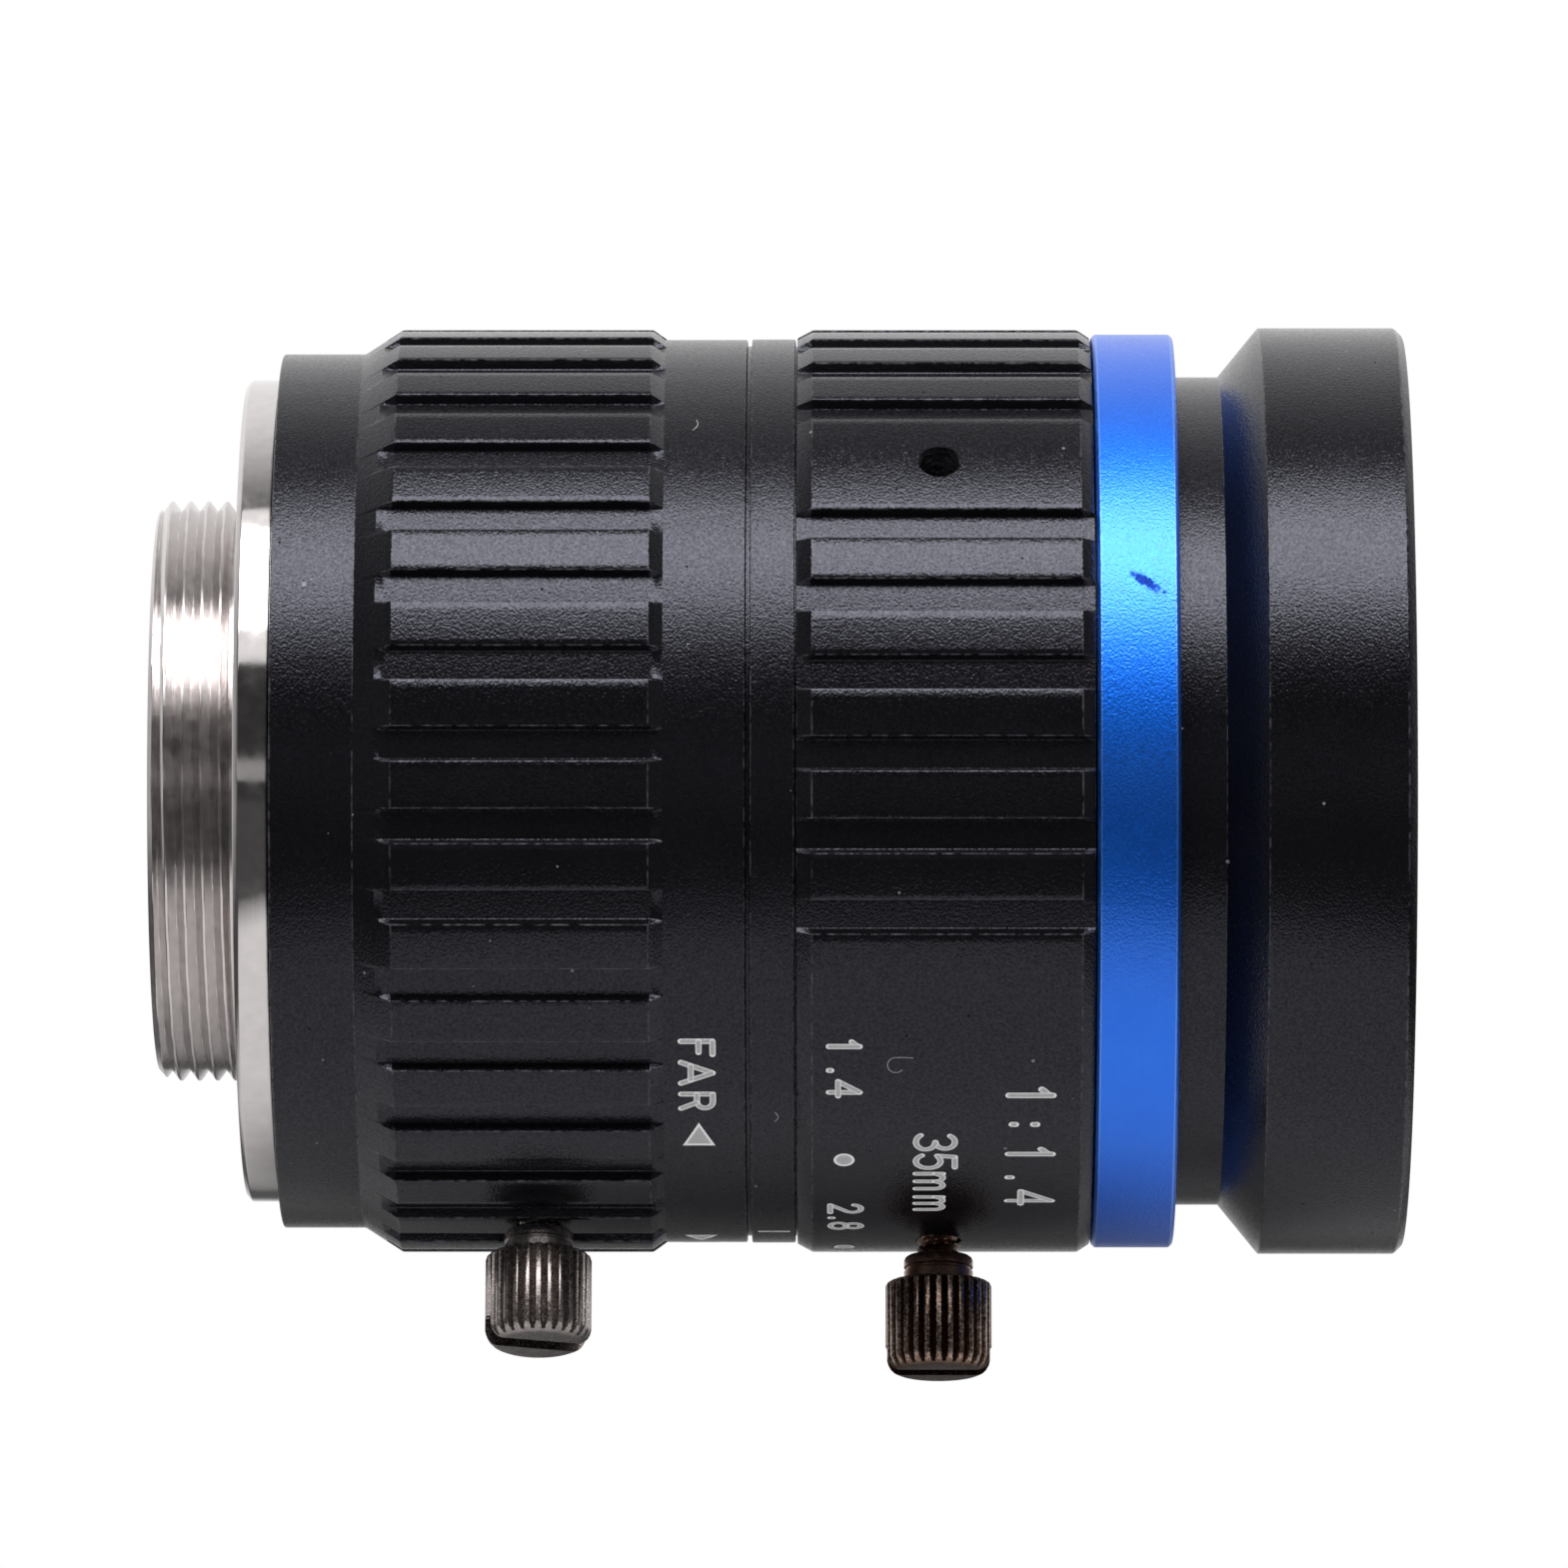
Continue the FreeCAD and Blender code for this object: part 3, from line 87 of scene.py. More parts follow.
# Stations of the steps between them.
CONE_START = 5.16
RIBS_START = 6.8
RIBS_END = 17.76
BAND_START = 18.36
IRIS_RIBS_START = 24.73
IRIS_RIBS_END = 36.27
FLARE_START = 42.44
HOOD_START = 44.2

# Grip grooves: their pitch, the turn of the first one on each ring, half their width at the
# floor and at the top, and the turns from a groove's middle at which its wall has points.
GROOVE_PITCH = 10.0
FOCUS_GROOVE = 4.2
IRIS_GROOVE = 5.4
FLOOR_HALF = math.degrees(0.62 / FLOOR_R)
TOP_HALF = math.degrees(0.74 / CREST_R)
GROOVE_WALL = np.array([FLOOR_HALF - 0.1, FLOOR_HALF, TOP_HALF - 0.03, TOP_HALF + 0.05,
                        TOP_HALF + 0.16])

# Threads, and the radii between which a lock screw's hole is drilled.
MOUNT_PITCH = 25.4 / 32
FILTER_PITCH = 0.75
SCREW_PITCH = 0.4
SCREW_HOLE_R = 1.0
SPARE_HOLE_R = 0.8
HOLE_FLOOR, HOLE_TOP = 17.0, 21.5
# Station, turn, radius at which the collar starts, spin of the driver slot, bare shank.
SCREW_STATIONS = {"focus": (12.87, 249.2, 20.44, 76.0, 1.92),
                  "iris": (30.2, 255.4, 20.92, 90.0, 2.2)}

# How far a turned edge has worn bright and carries a painted highlight, and how far over the
# ring the top of a laser mark and the foot of its sides stand.
EDGE_WEAR_AND_HIGHLIGHT = 0.4
MARK_LIFT = 0.006
MARK_FOOT = -0.03
# Rows at the end of a tapped hole or of the filter thread that are plain.
PLAIN_ROWS = 6

# The table's level and middle, and how bright the room is: straight in front, at the sides,
# the pale wall in front, the floor below it, and the light on plain surfaces. Lamps and camera
# are given in metres.
FLOOR_LEVEL = -45.0
LENS_MIDDLE = 26.0
WORLD_DIM = 0.04
WORLD_SIDE = 0.16
WORLD_WALL = 0.4
WORLD_LOW = 0.08
WORLD_FILL = 0.2
LAMP_AIM = Vector((0.0255, 0.0, 0.0))
CAMERA_PLACE = Vector((0.0264, -0.636, 0.0003))
CAMERA_AIM = Vector((0.02346, 0.0, 0.000307))

# Patterns: the scale of the blasted grain, about 0.05 mm in life and drawn at 0.11 mm so that
# it shows, the scuff on the blue ring, and the directions square to the axis.
BLAST_GRAIN = 9.0
SCUFF_TURN = math.radians(26.6)
SCUFF_MIDDLE = (38.95, -BLUE_R * math.cos(SCUFF_TURN), BLUE_R * math.sin(SCUFF_TURN))
ACROSS_AXIS = (0.0, 1.0, 1.0)


# ---------------------------------------------------------------- meshes from grids

def metres(points):
    """Millimetre coordinates as the metres that Blender works in."""
    return np.asarray(points, dtype=float) * 0.001


def mesh_from(name, points, faces):
    """A mesh from points in millimetres."""
    mesh = bpy.data.meshes.new(name)
    mesh.from_pydata(metres(points).tolist(), [], [list(face) for face in faces])
    return mesh


def place_in_scene(name, data):
    """A new object that shows a mesh, lamp or camera."""
    item = bpy.data.objects.new(name, data)
    bpy.context.scene.collection.objects.link(item)
    return item


def make_piece(name, points, faces, body, slot_name, sharp=32.0, edge=None):
    """Puts points (mm) and faces into a new mesh object that rides on a body.

    Corners sharper than the given angle stay crisp. edge is one number a point, 1 where a
    corner has worn bright and carries a painted highlight, and it goes into the attribute "edge".
    """
    mesh = mesh_from(name, points, faces)
    mesh.update()
    mesh.shade_smooth()
    mesh.set_sharp_from_angle(angle=math.radians(sharp))
    if edge is not None:
        layer = mesh.attributes.new("edge", "FLOAT", "POINT")
        layer.data.foreach_set("value", np.asarray(edge, dtype=np.float32).reshape(-1))
    piece = place_in_scene(name, mesh)
    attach(piece, body)
    NEW_PIECES.append((piece, slot_name))
    return piece


def grid_faces(rows, columns, closed=True):
    """Quads of a grid whose points run column by column within each row.

    Face (i, j) joins points (i, j), (i, j+1), (i+1, j+1) and (i+1, j). The last column meets
    the first, and on a closed profile the last row does too.
    """
    i, j = np.meshgrid(np.arange(rows if closed else rows - 1), np.arange(columns), indexing="ij")
    i_next, j_next = (i + 1) % rows, (j + 1) % columns
    quads = np.stack([i * columns + j, i * columns + j_next,
                      i_next * columns + j_next, i_next * columns + j], axis=-1)
    return quads.reshape(-1, 4)


def capped_faces(rows, columns):
    """Quads of a tube's grid, with one many-sided face over each end."""
    faces = grid_faces(rows, columns, closed=False).tolist()
    faces.append(list(range(columns))[::-1])
    faces.append([(rows - 1) * columns + column for column in range(columns)])
    return faces


def around(x, r, turn):
    """Points at stations x, radii r and turns in degrees: (x, r cos turn, r sin turn)."""
    x, r, angle = np.broadcast_arrays(x, r, np.radians(turn))
    return np.stack([x, r * np.cos(angle), r * np.sin(angle)], axis=-1).reshape(-1, 3)


def even_turns(count):
    """Equal turns round the axis."""
    return np.arange(count) * 360.0 / count


def held_round(values, columns):
    """One value a row, the same all round."""
    return np.repeat(np.asarray(values)[:, None], columns, axis=1)


def triangle_wave(phase):
    """0 at each whole number and 1 halfway between: 2 |phase - nearest whole number|."""
    return np.abs(2.0 * (phase - np.floor(phase + 0.5)))


def rounded(corners, bend_steps=3):
    """A closed profile whose corners (x, r, bevel) become arcs of a few short lines.

    At each corner the arc starts and ends a bevel's length away, and its points are
    p = (1-t)^2 a + 2 t (1-t) corner + t^2 b. Returns the points and, for each, whether it
    lies on an outer corner's arc.
    """
    points, on_edge = [], []
    spots = np.array([corner[:2] for corner in corners], dtype=float)
    for index, (spot, (*_, bevel)) in enumerate(zip(spots, corners)):
        if bevel <= 0:
            points.append(spot)
            on_edge.append(0.0)
            continue
        before, after = spots[index - 1] - spot, spots[(index + 1) % len(spots)] - spot
        start = spot + before / np.linalg.norm(before) * bevel
        end = spot + after / np.linalg.norm(after) * bevel
        for t in np.linspace(0.0, 1.0, bend_steps + 1):
            points.append((1 - t) ** 2 * start + 2 * t * (1 - t) * spot + t ** 2 * end)
            on_edge.append(1.0 if 0.2 < t < 0.8 else 0.0)
    return np.array(points), np.array(on_edge)


def from_nearest(turns, centres):
    """How far each turn is from the nearest groove's middle."""
    return np.abs((turns[..., None] - centres + 180.0) % 360.0 - 180.0).min(-1)


def groove_columns(centres):
    """Turns for a ring with grooves: columns on each groove's floor, walls and bevels."""
    offsets = np.concatenate([-GROOVE_WALL[::-1], [0.0], GROOVE_WALL])
    grooves = (centres[:, None] + offsets).reshape(-1)
    plain = np.arange(0.0, 360.0, 1.25)
    plain = plain[from_nearest(plain, centres) > TOP_HALF + 0.4]
    return np.unique(np.round(np.concatenate([grooves, plain]) % 360.0, 5))


def grip(turns, centres):
    """The grip's radius at each turn, and how much worn line and painted highlight it carries.

    From a groove's middle outwards: floor, steep wall, small bevel, then no limit.
    """
    away = from_nearest(turns, centres)
    stands = [0.0, *GROOVE_WALL, 180.0]
    radii = [FLOOR_R, FLOOR_R, FLOOR_R + 0.03, CREST_R - 0.09, CREST_R - 0.02, CREST_R + 0.5,
             CREST_R + 0.5]
    wear_and_highlight = [0.0, 0.0, 0.0, 0.0, 1.0, 0.0, 0.0]
    return np.interp(away, stands, radii), np.interp(away, stands, wear_and_highlight)


def lathe(name, corners, body, slot_name, centres=None, groove_end=HOOD_FRONT):
    """A ring: the closed profile (x, r) carried round the axis.

    The point at profile place s and turn t is (x(s), q cos t, q sin t), with q the smaller of
    the profile's radius and the grip's radius at t, so the grooves at the given centres cut
    only what stands proud of their floor, up to the station groove_end.
    """
    profile, on_edge = rounded(corners)
    turns = even_turns(240) if centres is None else groove_columns(centres)
    x = profile[:, :1]
    radius = held_round(profile[:, 1], len(turns))
    edge = held_round(EDGE_WEAR_AND_HIGHLIGHT * on_edge, len(turns))
    if centres is not None:
        cap, cap_edge = grip(turns, centres)
        cut = (radius > cap) & (x < groove_end)
        edge = np.where(cut, 0.0, edge)
        # The top corner of each rib carries the worn line and painted highlight.
        on_rib = (radius > FLOOR_R + 0.2) & (x < groove_end)
        edge = np.where(on_rib, np.maximum(edge, cap_edge), edge)
        radius = np.where(cut, cap, radius)
    faces = grid_faces(len(profile), len(turns))
    return make_piece(name, around(x, radius, turns), faces, body, slot_name, edge=edge)


# ---------------------------------------------------------------- the plated mount

def mount_thread():
    """Plated mounting ring with its real screw thread.

    Behind the flange the radius is major - depth * wave. The wave is the triangle wave of
    x / pitch - turn / 360, held at 0 where it is below the crest's share, so that the crests
    are flat and the roots nearly sharp. A chamfer leads in at the rear, and the thread ends
    in a plain relief before the flange.
    """
    depth, crest_share, flank_share, crest_place = 0.46, 0.12, 0.86, -0.75
    chamfer_length, chamfer_depth, relief_start = 0.45, 0.5, -0.40
    turns = even_turns(216)
    x = np.concatenate([np.linspace(THREAD_REAR + 0.02, -0.42, 120), [-0.36, -0.3, -0.12, -0.02]])
    phase = (x[:, None] - crest_place) / MOUNT_PITCH - (turns - 180.0) / 360.0
    wave = np.clip((triangle_wave(phase) - crest_share) / flank_share, 0.0, 1.0)
    lead_in = np.clip((x - THREAD_REAR) / chamfer_length, 0.0, 1.0)
    chamfer = THREAD_R - chamfer_depth * (1.0 - lead_in)
    radius = np.minimum(THREAD_R - depth * wave, chamfer[:, None])
    relief = x > relief_start
    radius[relief] = THREAD_R - depth
    crest = np.where(wave < crest_share, 0.5, 0.0) * (~relief)[:, None]
    # Flange, the collar in front of it, and the bore, back to the thread's end.
    bevel, collar_r, seat_r, seat_end, bore_r = 0.22, 15.48, 13.5, 0.6, 11.4
    profile, on_edge = rounded([
        (0.0, THREAD_R - depth, 0.04), (0.0, FLANGE_R - bevel, 0.03), (bevel, FLANGE_R, 0.05),
        (FLANGE_FRONT, FLANGE_R, 0.05), (FLANGE_FRONT, collar_r, 0.04),
        (MOUNT_FRONT, collar_r, 0.08), (MOUNT_FRONT, seat_r, 0.08), (seat_end, seat_r, 0.0),
        (seat_end, bore_r, 0.08), (THREAD_REAR, bore_r, 0.12),
        (THREAD_REAR, THREAD_R - 0.55, 0.06)])
    all_x = np.concatenate([x, profile[:, 0]])
    all_r = np.concatenate([radius, held_round(profile[:, 1], len(turns))])
    edge = np.concatenate([crest, held_round(on_edge, len(turns))])
    piece = make_piece("mount_ring_plated", around(all_x[:, None], all_r, turns),
                       grid_faces(len(all_x), len(turns)), "mount_base", "plated_mount",
                       30.0, edge)
    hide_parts("c_mount_ring")


# ---------------------------------------------------------------- the grip rings

def cut_with(piece, points, faces, sharp):
    """Takes a closed cutter's space out of a piece, for good."""
    cutter = place_in_scene("cutter", mesh_from("cutter", points, faces))
    turn_outward(cutter)
    cut = piece.modifiers.new("cut", "BOOLEAN")
    cut.operation, cut.solver, cut.object = "DIFFERENCE", "EXACT", cutter
    depsgraph = bpy.context.evaluated_depsgraph_get()
    result = bpy.data.meshes.new_from_object(piece.evaluated_get(depsgraph))
    piece.modifiers.remove(cut)
    piece.data = result
    bpy.data.objects.remove(cutter)
    result.set_sharp_from_angle(angle=math.radians(sharp))


def turn_outward(piece):
    """Makes every face of a closed mesh point outwards."""
    work = bmesh.new()
    work.from_mesh(piece.data)
    bmesh.ops.recalc_face_normals(work, faces=work.faces)
    work.to_mesh(piece.data)
    work.free()


def drill(piece, station, turn, radius, pitch=0.0):
    """Cuts a round hole, square to the axis, and threads its wall where a pitch is given.

    The cutter is a rod: at height h and way w its radius is radius + depth * triangle wave of
    h / pitch - w / 360.
    """
    ways = even_turns(40)
    height = np.linspace(HOLE_FLOOR, HOLE_TOP, 60 if pitch else 4)
    rod = np.full((len(height), len(ways)), radius)
    if pitch:
        depth = 0.6 * pitch
        rod = radius + depth * triangle_wave(height[:, None] / pitch - ways / 360.0)
        rod[-PLAIN_ROWS:] = radius + 0.5 * depth
    angle = math.radians(turn)
    axis = np.array([1.0, 0.0, 0.0])
    out = np.array([0.0, math.cos(angle), math.sin(angle)])
    across = np.array([0.0, -math.sin(angle), math.cos(angle)])
    side, along = rod * np.cos(np.radians(ways)), rod * np.sin(np.radians(ways))
    points = (station * axis + along[..., None] * axis + side[..., None] * across
              + height[:, None, None] * out).reshape(-1, 3)
    cut_with(piece, points, capped_faces(*rod.shape), 32.0)


def focus_grip():
    """Focus ring: rear band, cone, ribs with bevelled edges, and the band with the scale."""
    bore_r, bore_end = 16.55, 3.43
    rise = CREST_R - REAR_BAND_R
    cone = [(CONE_START + share * (RIBS_START - CONE_START), REAR_BAND_R + share * rise, 0.0)
            for share in ((FLOOR_R - REAR_BAND_R) / rise, 0.7, 0.84)]
    corners = [
        (FOCUS_REAR, bore_r, 0.0), (FOCUS_REAR, REAR_BAND_R, 0.12),
        (CONE_START, REAR_BAND_R, 0.05), *cone,
        (RIBS_START, CREST_R, 0.06), (RIBS_END, CREST_R, 0.06),
        (0.5 * (RIBS_END + BAND_START), 0.5 * (CREST_R + BAND_R), 0.0),
        (BAND_START, BAND_R, 0.0), (BAND_START + 0.02, BAND_R, 0.0),
        (BAND_START + 0.5, BAND_R, 0.0), (FOCUS_FRONT, BAND_R, 0.08),
        (FOCUS_FRONT, RING_BORE_R, 0.05), (bore_end, RING_BORE_R, 0.0), (bore_end, bore_r, 0.0)]
    piece = lathe("focus_grip_ring", corners, "focus_ring", "black_anodised",
                  FOCUS_GROOVE + GROOVE_PITCH * np.arange(36), BAND_START - 0.01)
    drill(piece, *SCREW_STATIONS["focus"][:2], SCREW_HOLE_R)
    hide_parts("focus_ring")


def iris_grip():
    """Iris ring: ribs on the far sides, a plain field for the scale, and three screw holes."""
    rear_r, front_r = 19.84, 19.85
    corners = [
        (IRIS_REAR, RING_BORE_R, 0.05), (IRIS_REAR, rear_r, 0.05),
        (IRIS_RIBS_START, CREST_R, 0.06), (IRIS_RIBS_END, CREST_R, 0.06),
        (IRIS_FRONT, front_r, 0.04), (IRIS_FRONT, RING_BORE_R, 0.05)]
    steps = np.array([0, *range(2, 13), *range(14, 20)])
    piece = lathe("iris_grip_ring", corners, "iris_ring", "black_anodised",
                  IRIS_GROOVE + GROOVE_PITCH * steps)
    station, turn = SCREW_STATIONS["iris"][:2]
    drill(piece, station, turn, SCREW_HOLE_R)
    for spare in (120.0, 240.0):
        drill(piece, station, turn - spare, SPARE_HOLE_R, SCREW_PITCH)
    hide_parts("iris_ring")


def plain_rings():
    """The index ring and the blue accent ring, with small bevels at their edges.

    A lip on each side of the index ring, 0.3 mm lower than it, closes the running gaps to its
    neighbours.
    """
    lip = INDEX_R - 0.3
    behind, ahead = FOCUS_FRONT + 0.03, IRIS_REAR - 0.03
    index = lathe("index_ring_turned", [
        (behind, SEAT_R, 0.0), (behind, lip, 0.0), (INDEX_REAR, lip, 0.0),
        (INDEX_REAR, INDEX_R, 0.08), (INDEX_FRONT, INDEX_R, 0.08), (INDEX_FRONT, lip, 0.0),
        (ahead, lip, 0.0), (ahead, SEAT_R, 0.0)], "front_unit", "black_anodised")
    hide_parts("index_ring")
    bevel = 0.16
    blue = lathe("blue_accent_ring", [
        (BLUE_REAR, SEAT_R, 0.0), (BLUE_REAR, BLUE_R - bevel, 0.04),
        (BLUE_REAR + bevel, BLUE_R, 0.05), (BLUE_FRONT - bevel, BLUE_R, 0.05),
        (BLUE_FRONT, BLUE_R - bevel, 0.04), (BLUE_FRONT, SEAT_R, 0.0)],
        "front_unit", "blue_anodised")
    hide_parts("blue_ring")


def front_hood():
    """Front barrel: spigot, waisted neck, flare, hood, filter thread and ridged funnel.

    Inside the mouth the radius is filter radius + depth * (1 - triangle wave of
    x / pitch - turn / 360). The funnel's steps stop stray light.
    """
    turns = even_turns(240)
    funnel_x, funnel_r = HOOD_FRONT - 4.2, 17.4
    glass_x, glass_r = 44.59, 15.2
    bevel, mouth_bevel, depth = 0.36, 0.35, 0.34
    ridge_x = np.linspace(funnel_x - 0.1, glass_x + 0.05, 15)
    ridge_r = np.interp(ridge_x, [glass_x, funnel_x], [glass_r, funnel_r])
    ridges = np.stack([np.repeat(ridge_x, 2), np.repeat(ridge_r, 2)], axis=1)
    ridges[1::2] -= [0.02, 0.12]
    # The seats of the front glasses, the spigot in the main barrel, and the outside.
    seat_ends, seat_radii, bore_r, spigot_r = (41.63, 38.2, 31.93), (13.62, 12.02), 10.2, 16.15
    outside, on_edge = rounded([
        (seat_ends[0], glass_r, 0.0), (seat_ends[0], seat_radii[0], 0.0),
        (seat_ends[1], seat_radii[0], 0.0), (seat_ends[1], seat_radii[1], 0.0),
        (seat_ends[2], seat_radii[1], 0.0), (seat_ends[2], bore_r, 0.0), (HOOD_REAR, bore_r, 0.1),
        (HOOD_REAR, spigot_r, 0.1), (BLUE_FRONT, spigot_r, 0.0), (BLUE_FRONT, NECK_R, 0.0),
        (FLARE_START, NECK_R, 0.03), (HOOD_START, HOOD_R, 0.06),
        (HOOD_FRONT - bevel, HOOD_R, 0.08), (HOOD_FRONT, HOOD_R - bevel, 0.08),
        (HOOD_FRONT, FILTER_R + mouth_bevel, 0.03)])
    thread_x = np.linspace(HOOD_FRONT - 0.05, funnel_x + 0.05, 66)
    wave = triangle_wave(thread_x[:, None] / FILTER_PITCH - turns / 360.0)
    mouth = mouth_bevel * np.clip(1.0 - (HOOD_FRONT - thread_x) / 0.4, 0.0, 1.0)
    thread_r = np.maximum(FILTER_R + depth * (1.0 - wave), (FILTER_R + mouth)[:, None])
    thread_r[-PLAIN_ROWS:] = FILTER_R + depth
    rows_x = np.concatenate([outside[:, 0], thread_x, ridges[:, 0]])
    rows_r = np.concatenate([held_round(outside[:, 1], len(turns)), thread_r,
                             held_round(ridges[:, 1], len(turns))])
    edge = np.zeros(rows_r.shape)
    edge[:len(outside)] = EDGE_WEAR_AND_HIGHLIGHT * on_edge[:, None]
    piece = make_piece("front_hood_barrel", around(rows_x[:, None], rows_r, turns),
                       grid_faces(len(rows_x), len(turns)), "front_unit", "black_anodised",
                       30.0, edge)
    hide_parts("front_barrel")


# ---------------------------------------------------------------- lock screws

def outward_frame(turn, spin):
    """A lock screw's own directions: out of the ring, across its slot, and along its slot."""
    t, s = math.radians(turn), math.radians(spin)
    out = np.array([0.0, math.cos(t), math.sin(t)])
    across = np.array([-math.cos(s), -math.sin(s) * math.sin(t), math.sin(s) * math.cos(t)])
    along = np.array([math.sin(s), -math.cos(s) * math.sin(t), math.cos(s) * math.cos(t)])
    return out, across, along


def lock_screw(which):
    """Thumb screw: M2 thread, collar with a ring groove, fluted head, and a driver slot.

    At height h and way w the radius is the smaller of the profile and the flutes,
    head radius - depth * u^2 (3 - 2 u), where u rises from the flat crest to the valley of the
    triangle wave of flutes * w; on the shank it is screw radius - depth * triangle wave of
    h / pitch - w / 360.
    """
    station, turn, stand, spin, shank = SCREW_STATIONS[which]
    flutes, per_flute, flute_depth, flute_crest, crest_wear_and_glint = 28, 10, 0.34, 0.3, 0.45
    screw_r, collar_r, head_r, thread_depth = 0.95, 1.5, 2.3, 0.2
    tip_r, groove_r, slot_depth = 0.80, collar_r - 0.09, 1.1
    collar, head = shank + 1.2, shank + 5.15
    bare = [(0.0, tip_r), (0.12, screw_r)]
    thread = [(h, screw_r) for h in np.linspace(0.16, shank - 0.08, 56)]
    above = [(shank - 0.05, tip_r), (shank, 0.86), (shank, 1.26), (shank + 0.03, 1.36),
             (shank + 0.1, 1.45), (shank + 0.22, collar_r), (shank + 0.5, collar_r),
             (shank + 0.56, groove_r), (shank + 0.64, groove_r), (shank + 0.7, collar_r),
             (collar - 0.02, collar_r), (collar, collar_r + 0.02), (collar, head_r - 0.2),
             (collar + 0.02, head_r - 0.12), (collar + 0.07, head_r - 0.04),
             (collar + 0.14, head_r), (head - 0.62, head_r), (head - 0.42, head_r - 0.05),
             (head - 0.22, head_r - 0.16), (head - 0.08, head_r - 0.3),
             (head - 0.01, head_r - 0.46), (head, head_r - 0.6), (head, 1.0), (head, 0.4)]
    height, radius = np.array(bare + thread + above).T[:, :, None]
    share = even_turns(flutes * per_flute) / 360.0
    threaded = (height > 0.14) & (height < shank - 0.07)
    turn_wave = triangle_wave(height / SCREW_PITCH - share)
    wall = radius - np.where(threaded, thread_depth * turn_wave, 0.0)
    flute = triangle_wave(share * flutes)
    fall = np.clip((flute - flute_crest) / (1.0 - flute_crest), 0.0, 1.0)
    flute_r = head_r - flute_depth * fall ** 2 * (3.0 - 2.0 * fall)
    on_head = height >= collar
    wall = np.where(on_head & (radius > collar_r + 0.1), np.minimum(wall, flute_r), wall)
    # The flute crests carry a pale line: worn plating and a painted highlight.
    edge = np.where(on_head & (flute < crest_wear_and_glint) & (radius > head_r - 0.2), 0.8, 0.0)
    out, across, along = outward_frame(turn, spin)
    angle = 2 * math.pi * share
    centre = np.array([station, 0.0, 0.0]) + (stand - shank) * out
    points = (centre + height[..., None] * out + (wall * np.cos(angle))[..., None] * across
              + (wall * np.sin(angle))[..., None] * along).reshape(-1, 3)
    body = which + "_lock_screw"
    piece = make_piece(which + "_thumb_screw", points, capped_faces(*wall.shape), body,
                       "black_nickel", 40.0, edge)
    turn_outward(piece)
    slot_cut(piece, centre + (head - slot_depth) * out, out, across, along)
    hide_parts(body)


def slot_cut(piece, floor, out, across, along):
    """Cuts the driver slot, 1.1 mm wide, with a block that stands on the slot's floor."""
    half, reach, tall = 0.55, 3.0, 2.0
    signs = np.array([[a, b, c] for a in (-1, 1) for b in (-1, 1) for c in (0, 1)], dtype=float)
    points = (floor + signs[:, :1] * half * across + signs[:, 1:2] * reach * along
              + signs[:, 2:] * tall * out)
    faces = [[0, 1, 3, 2], [4, 6, 7, 5], [0, 4, 5, 1], [2, 3, 7, 6], [0, 2, 6, 4], [1, 5, 7, 3]]
    cut_with(piece, points, faces, 40.0)


# ---------------------------------------------------------------- glasses

# Rim radius, then the top's station and the ball's radius of the front and of the rear face.
# A hollow face has a ball radius below 0.
GLASSES = {
    "front_glass": (13.6, 45.6, 32.0, 42.2, -120.0),
    "second_glass": (12.0, 41.9, 20.0, 38.3, -38.0),
    "third_glass": (12.0, 38.29, 38.0, 36.8, -11.5),
    "fourth_glass": (10.6, 19.0, -12.5, 17.8, -90.0),
    "fifth_glass": (10.6, 17.79, 90.0, 13.2, 20.0),
    "sixth_glass": (10.8, 12.9, 70.0, 9.1, 32.0),
    "rear_glass": (10.9, 8.7, 28.0, 4.9, 120.0),
}


def ball_drop(ball, r):
    """How far a ball's face has fallen from its top at radius r; a hollow face rises."""
    return math.copysign(1.0, ball) * (abs(ball) - np.sqrt(np.maximum(ball ** 2 - r ** 2, 0.0)))


def polished_glass(node):
    """One glass, its two faces parts of balls.

    A face is x = top -/+ (ball - sqrt(ball^2 - r^2)) at radius r, carried round the axis,
    and a plain ground cylinder joins the two rims.
    """
    rim, front_top, front_ball, rear_top, rear_ball = GLASSES[node]
    low, high = span(node)
    r = rim * np.sin(np.linspace(0.004, math.pi / 2, 30))
    front = np.clip(front_top - ball_drop(front_ball, r), low, high)
    rear = np.clip(rear_top + ball_drop(rear_ball, r), low, high)
    x = np.concatenate([rear, front[::-1]])
    radius = np.concatenate([r, r[::-1]])
    turns = even_turns(120)
    piece = make_piece(node + "_polished", around(x[:, None], radius[:, None], turns),
                       capped_faces(len(x), len(turns)), "front_unit", "coated_glass", 25.0)
    turn_outward(piece)
    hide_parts(node)


# ---------------------------------------------------------------- laser marks

def arc(cx, cy, rx, ry, start, end, steps=12):
    """Points (cx + rx cos a, cy + ry sin a) as a goes from start to end, in degrees."""
    a = np.radians(np.linspace(start, end, steps))
    return np.stack([cx + rx * np.cos(a), cy + ry * np.sin(a)], axis=1).tolist()


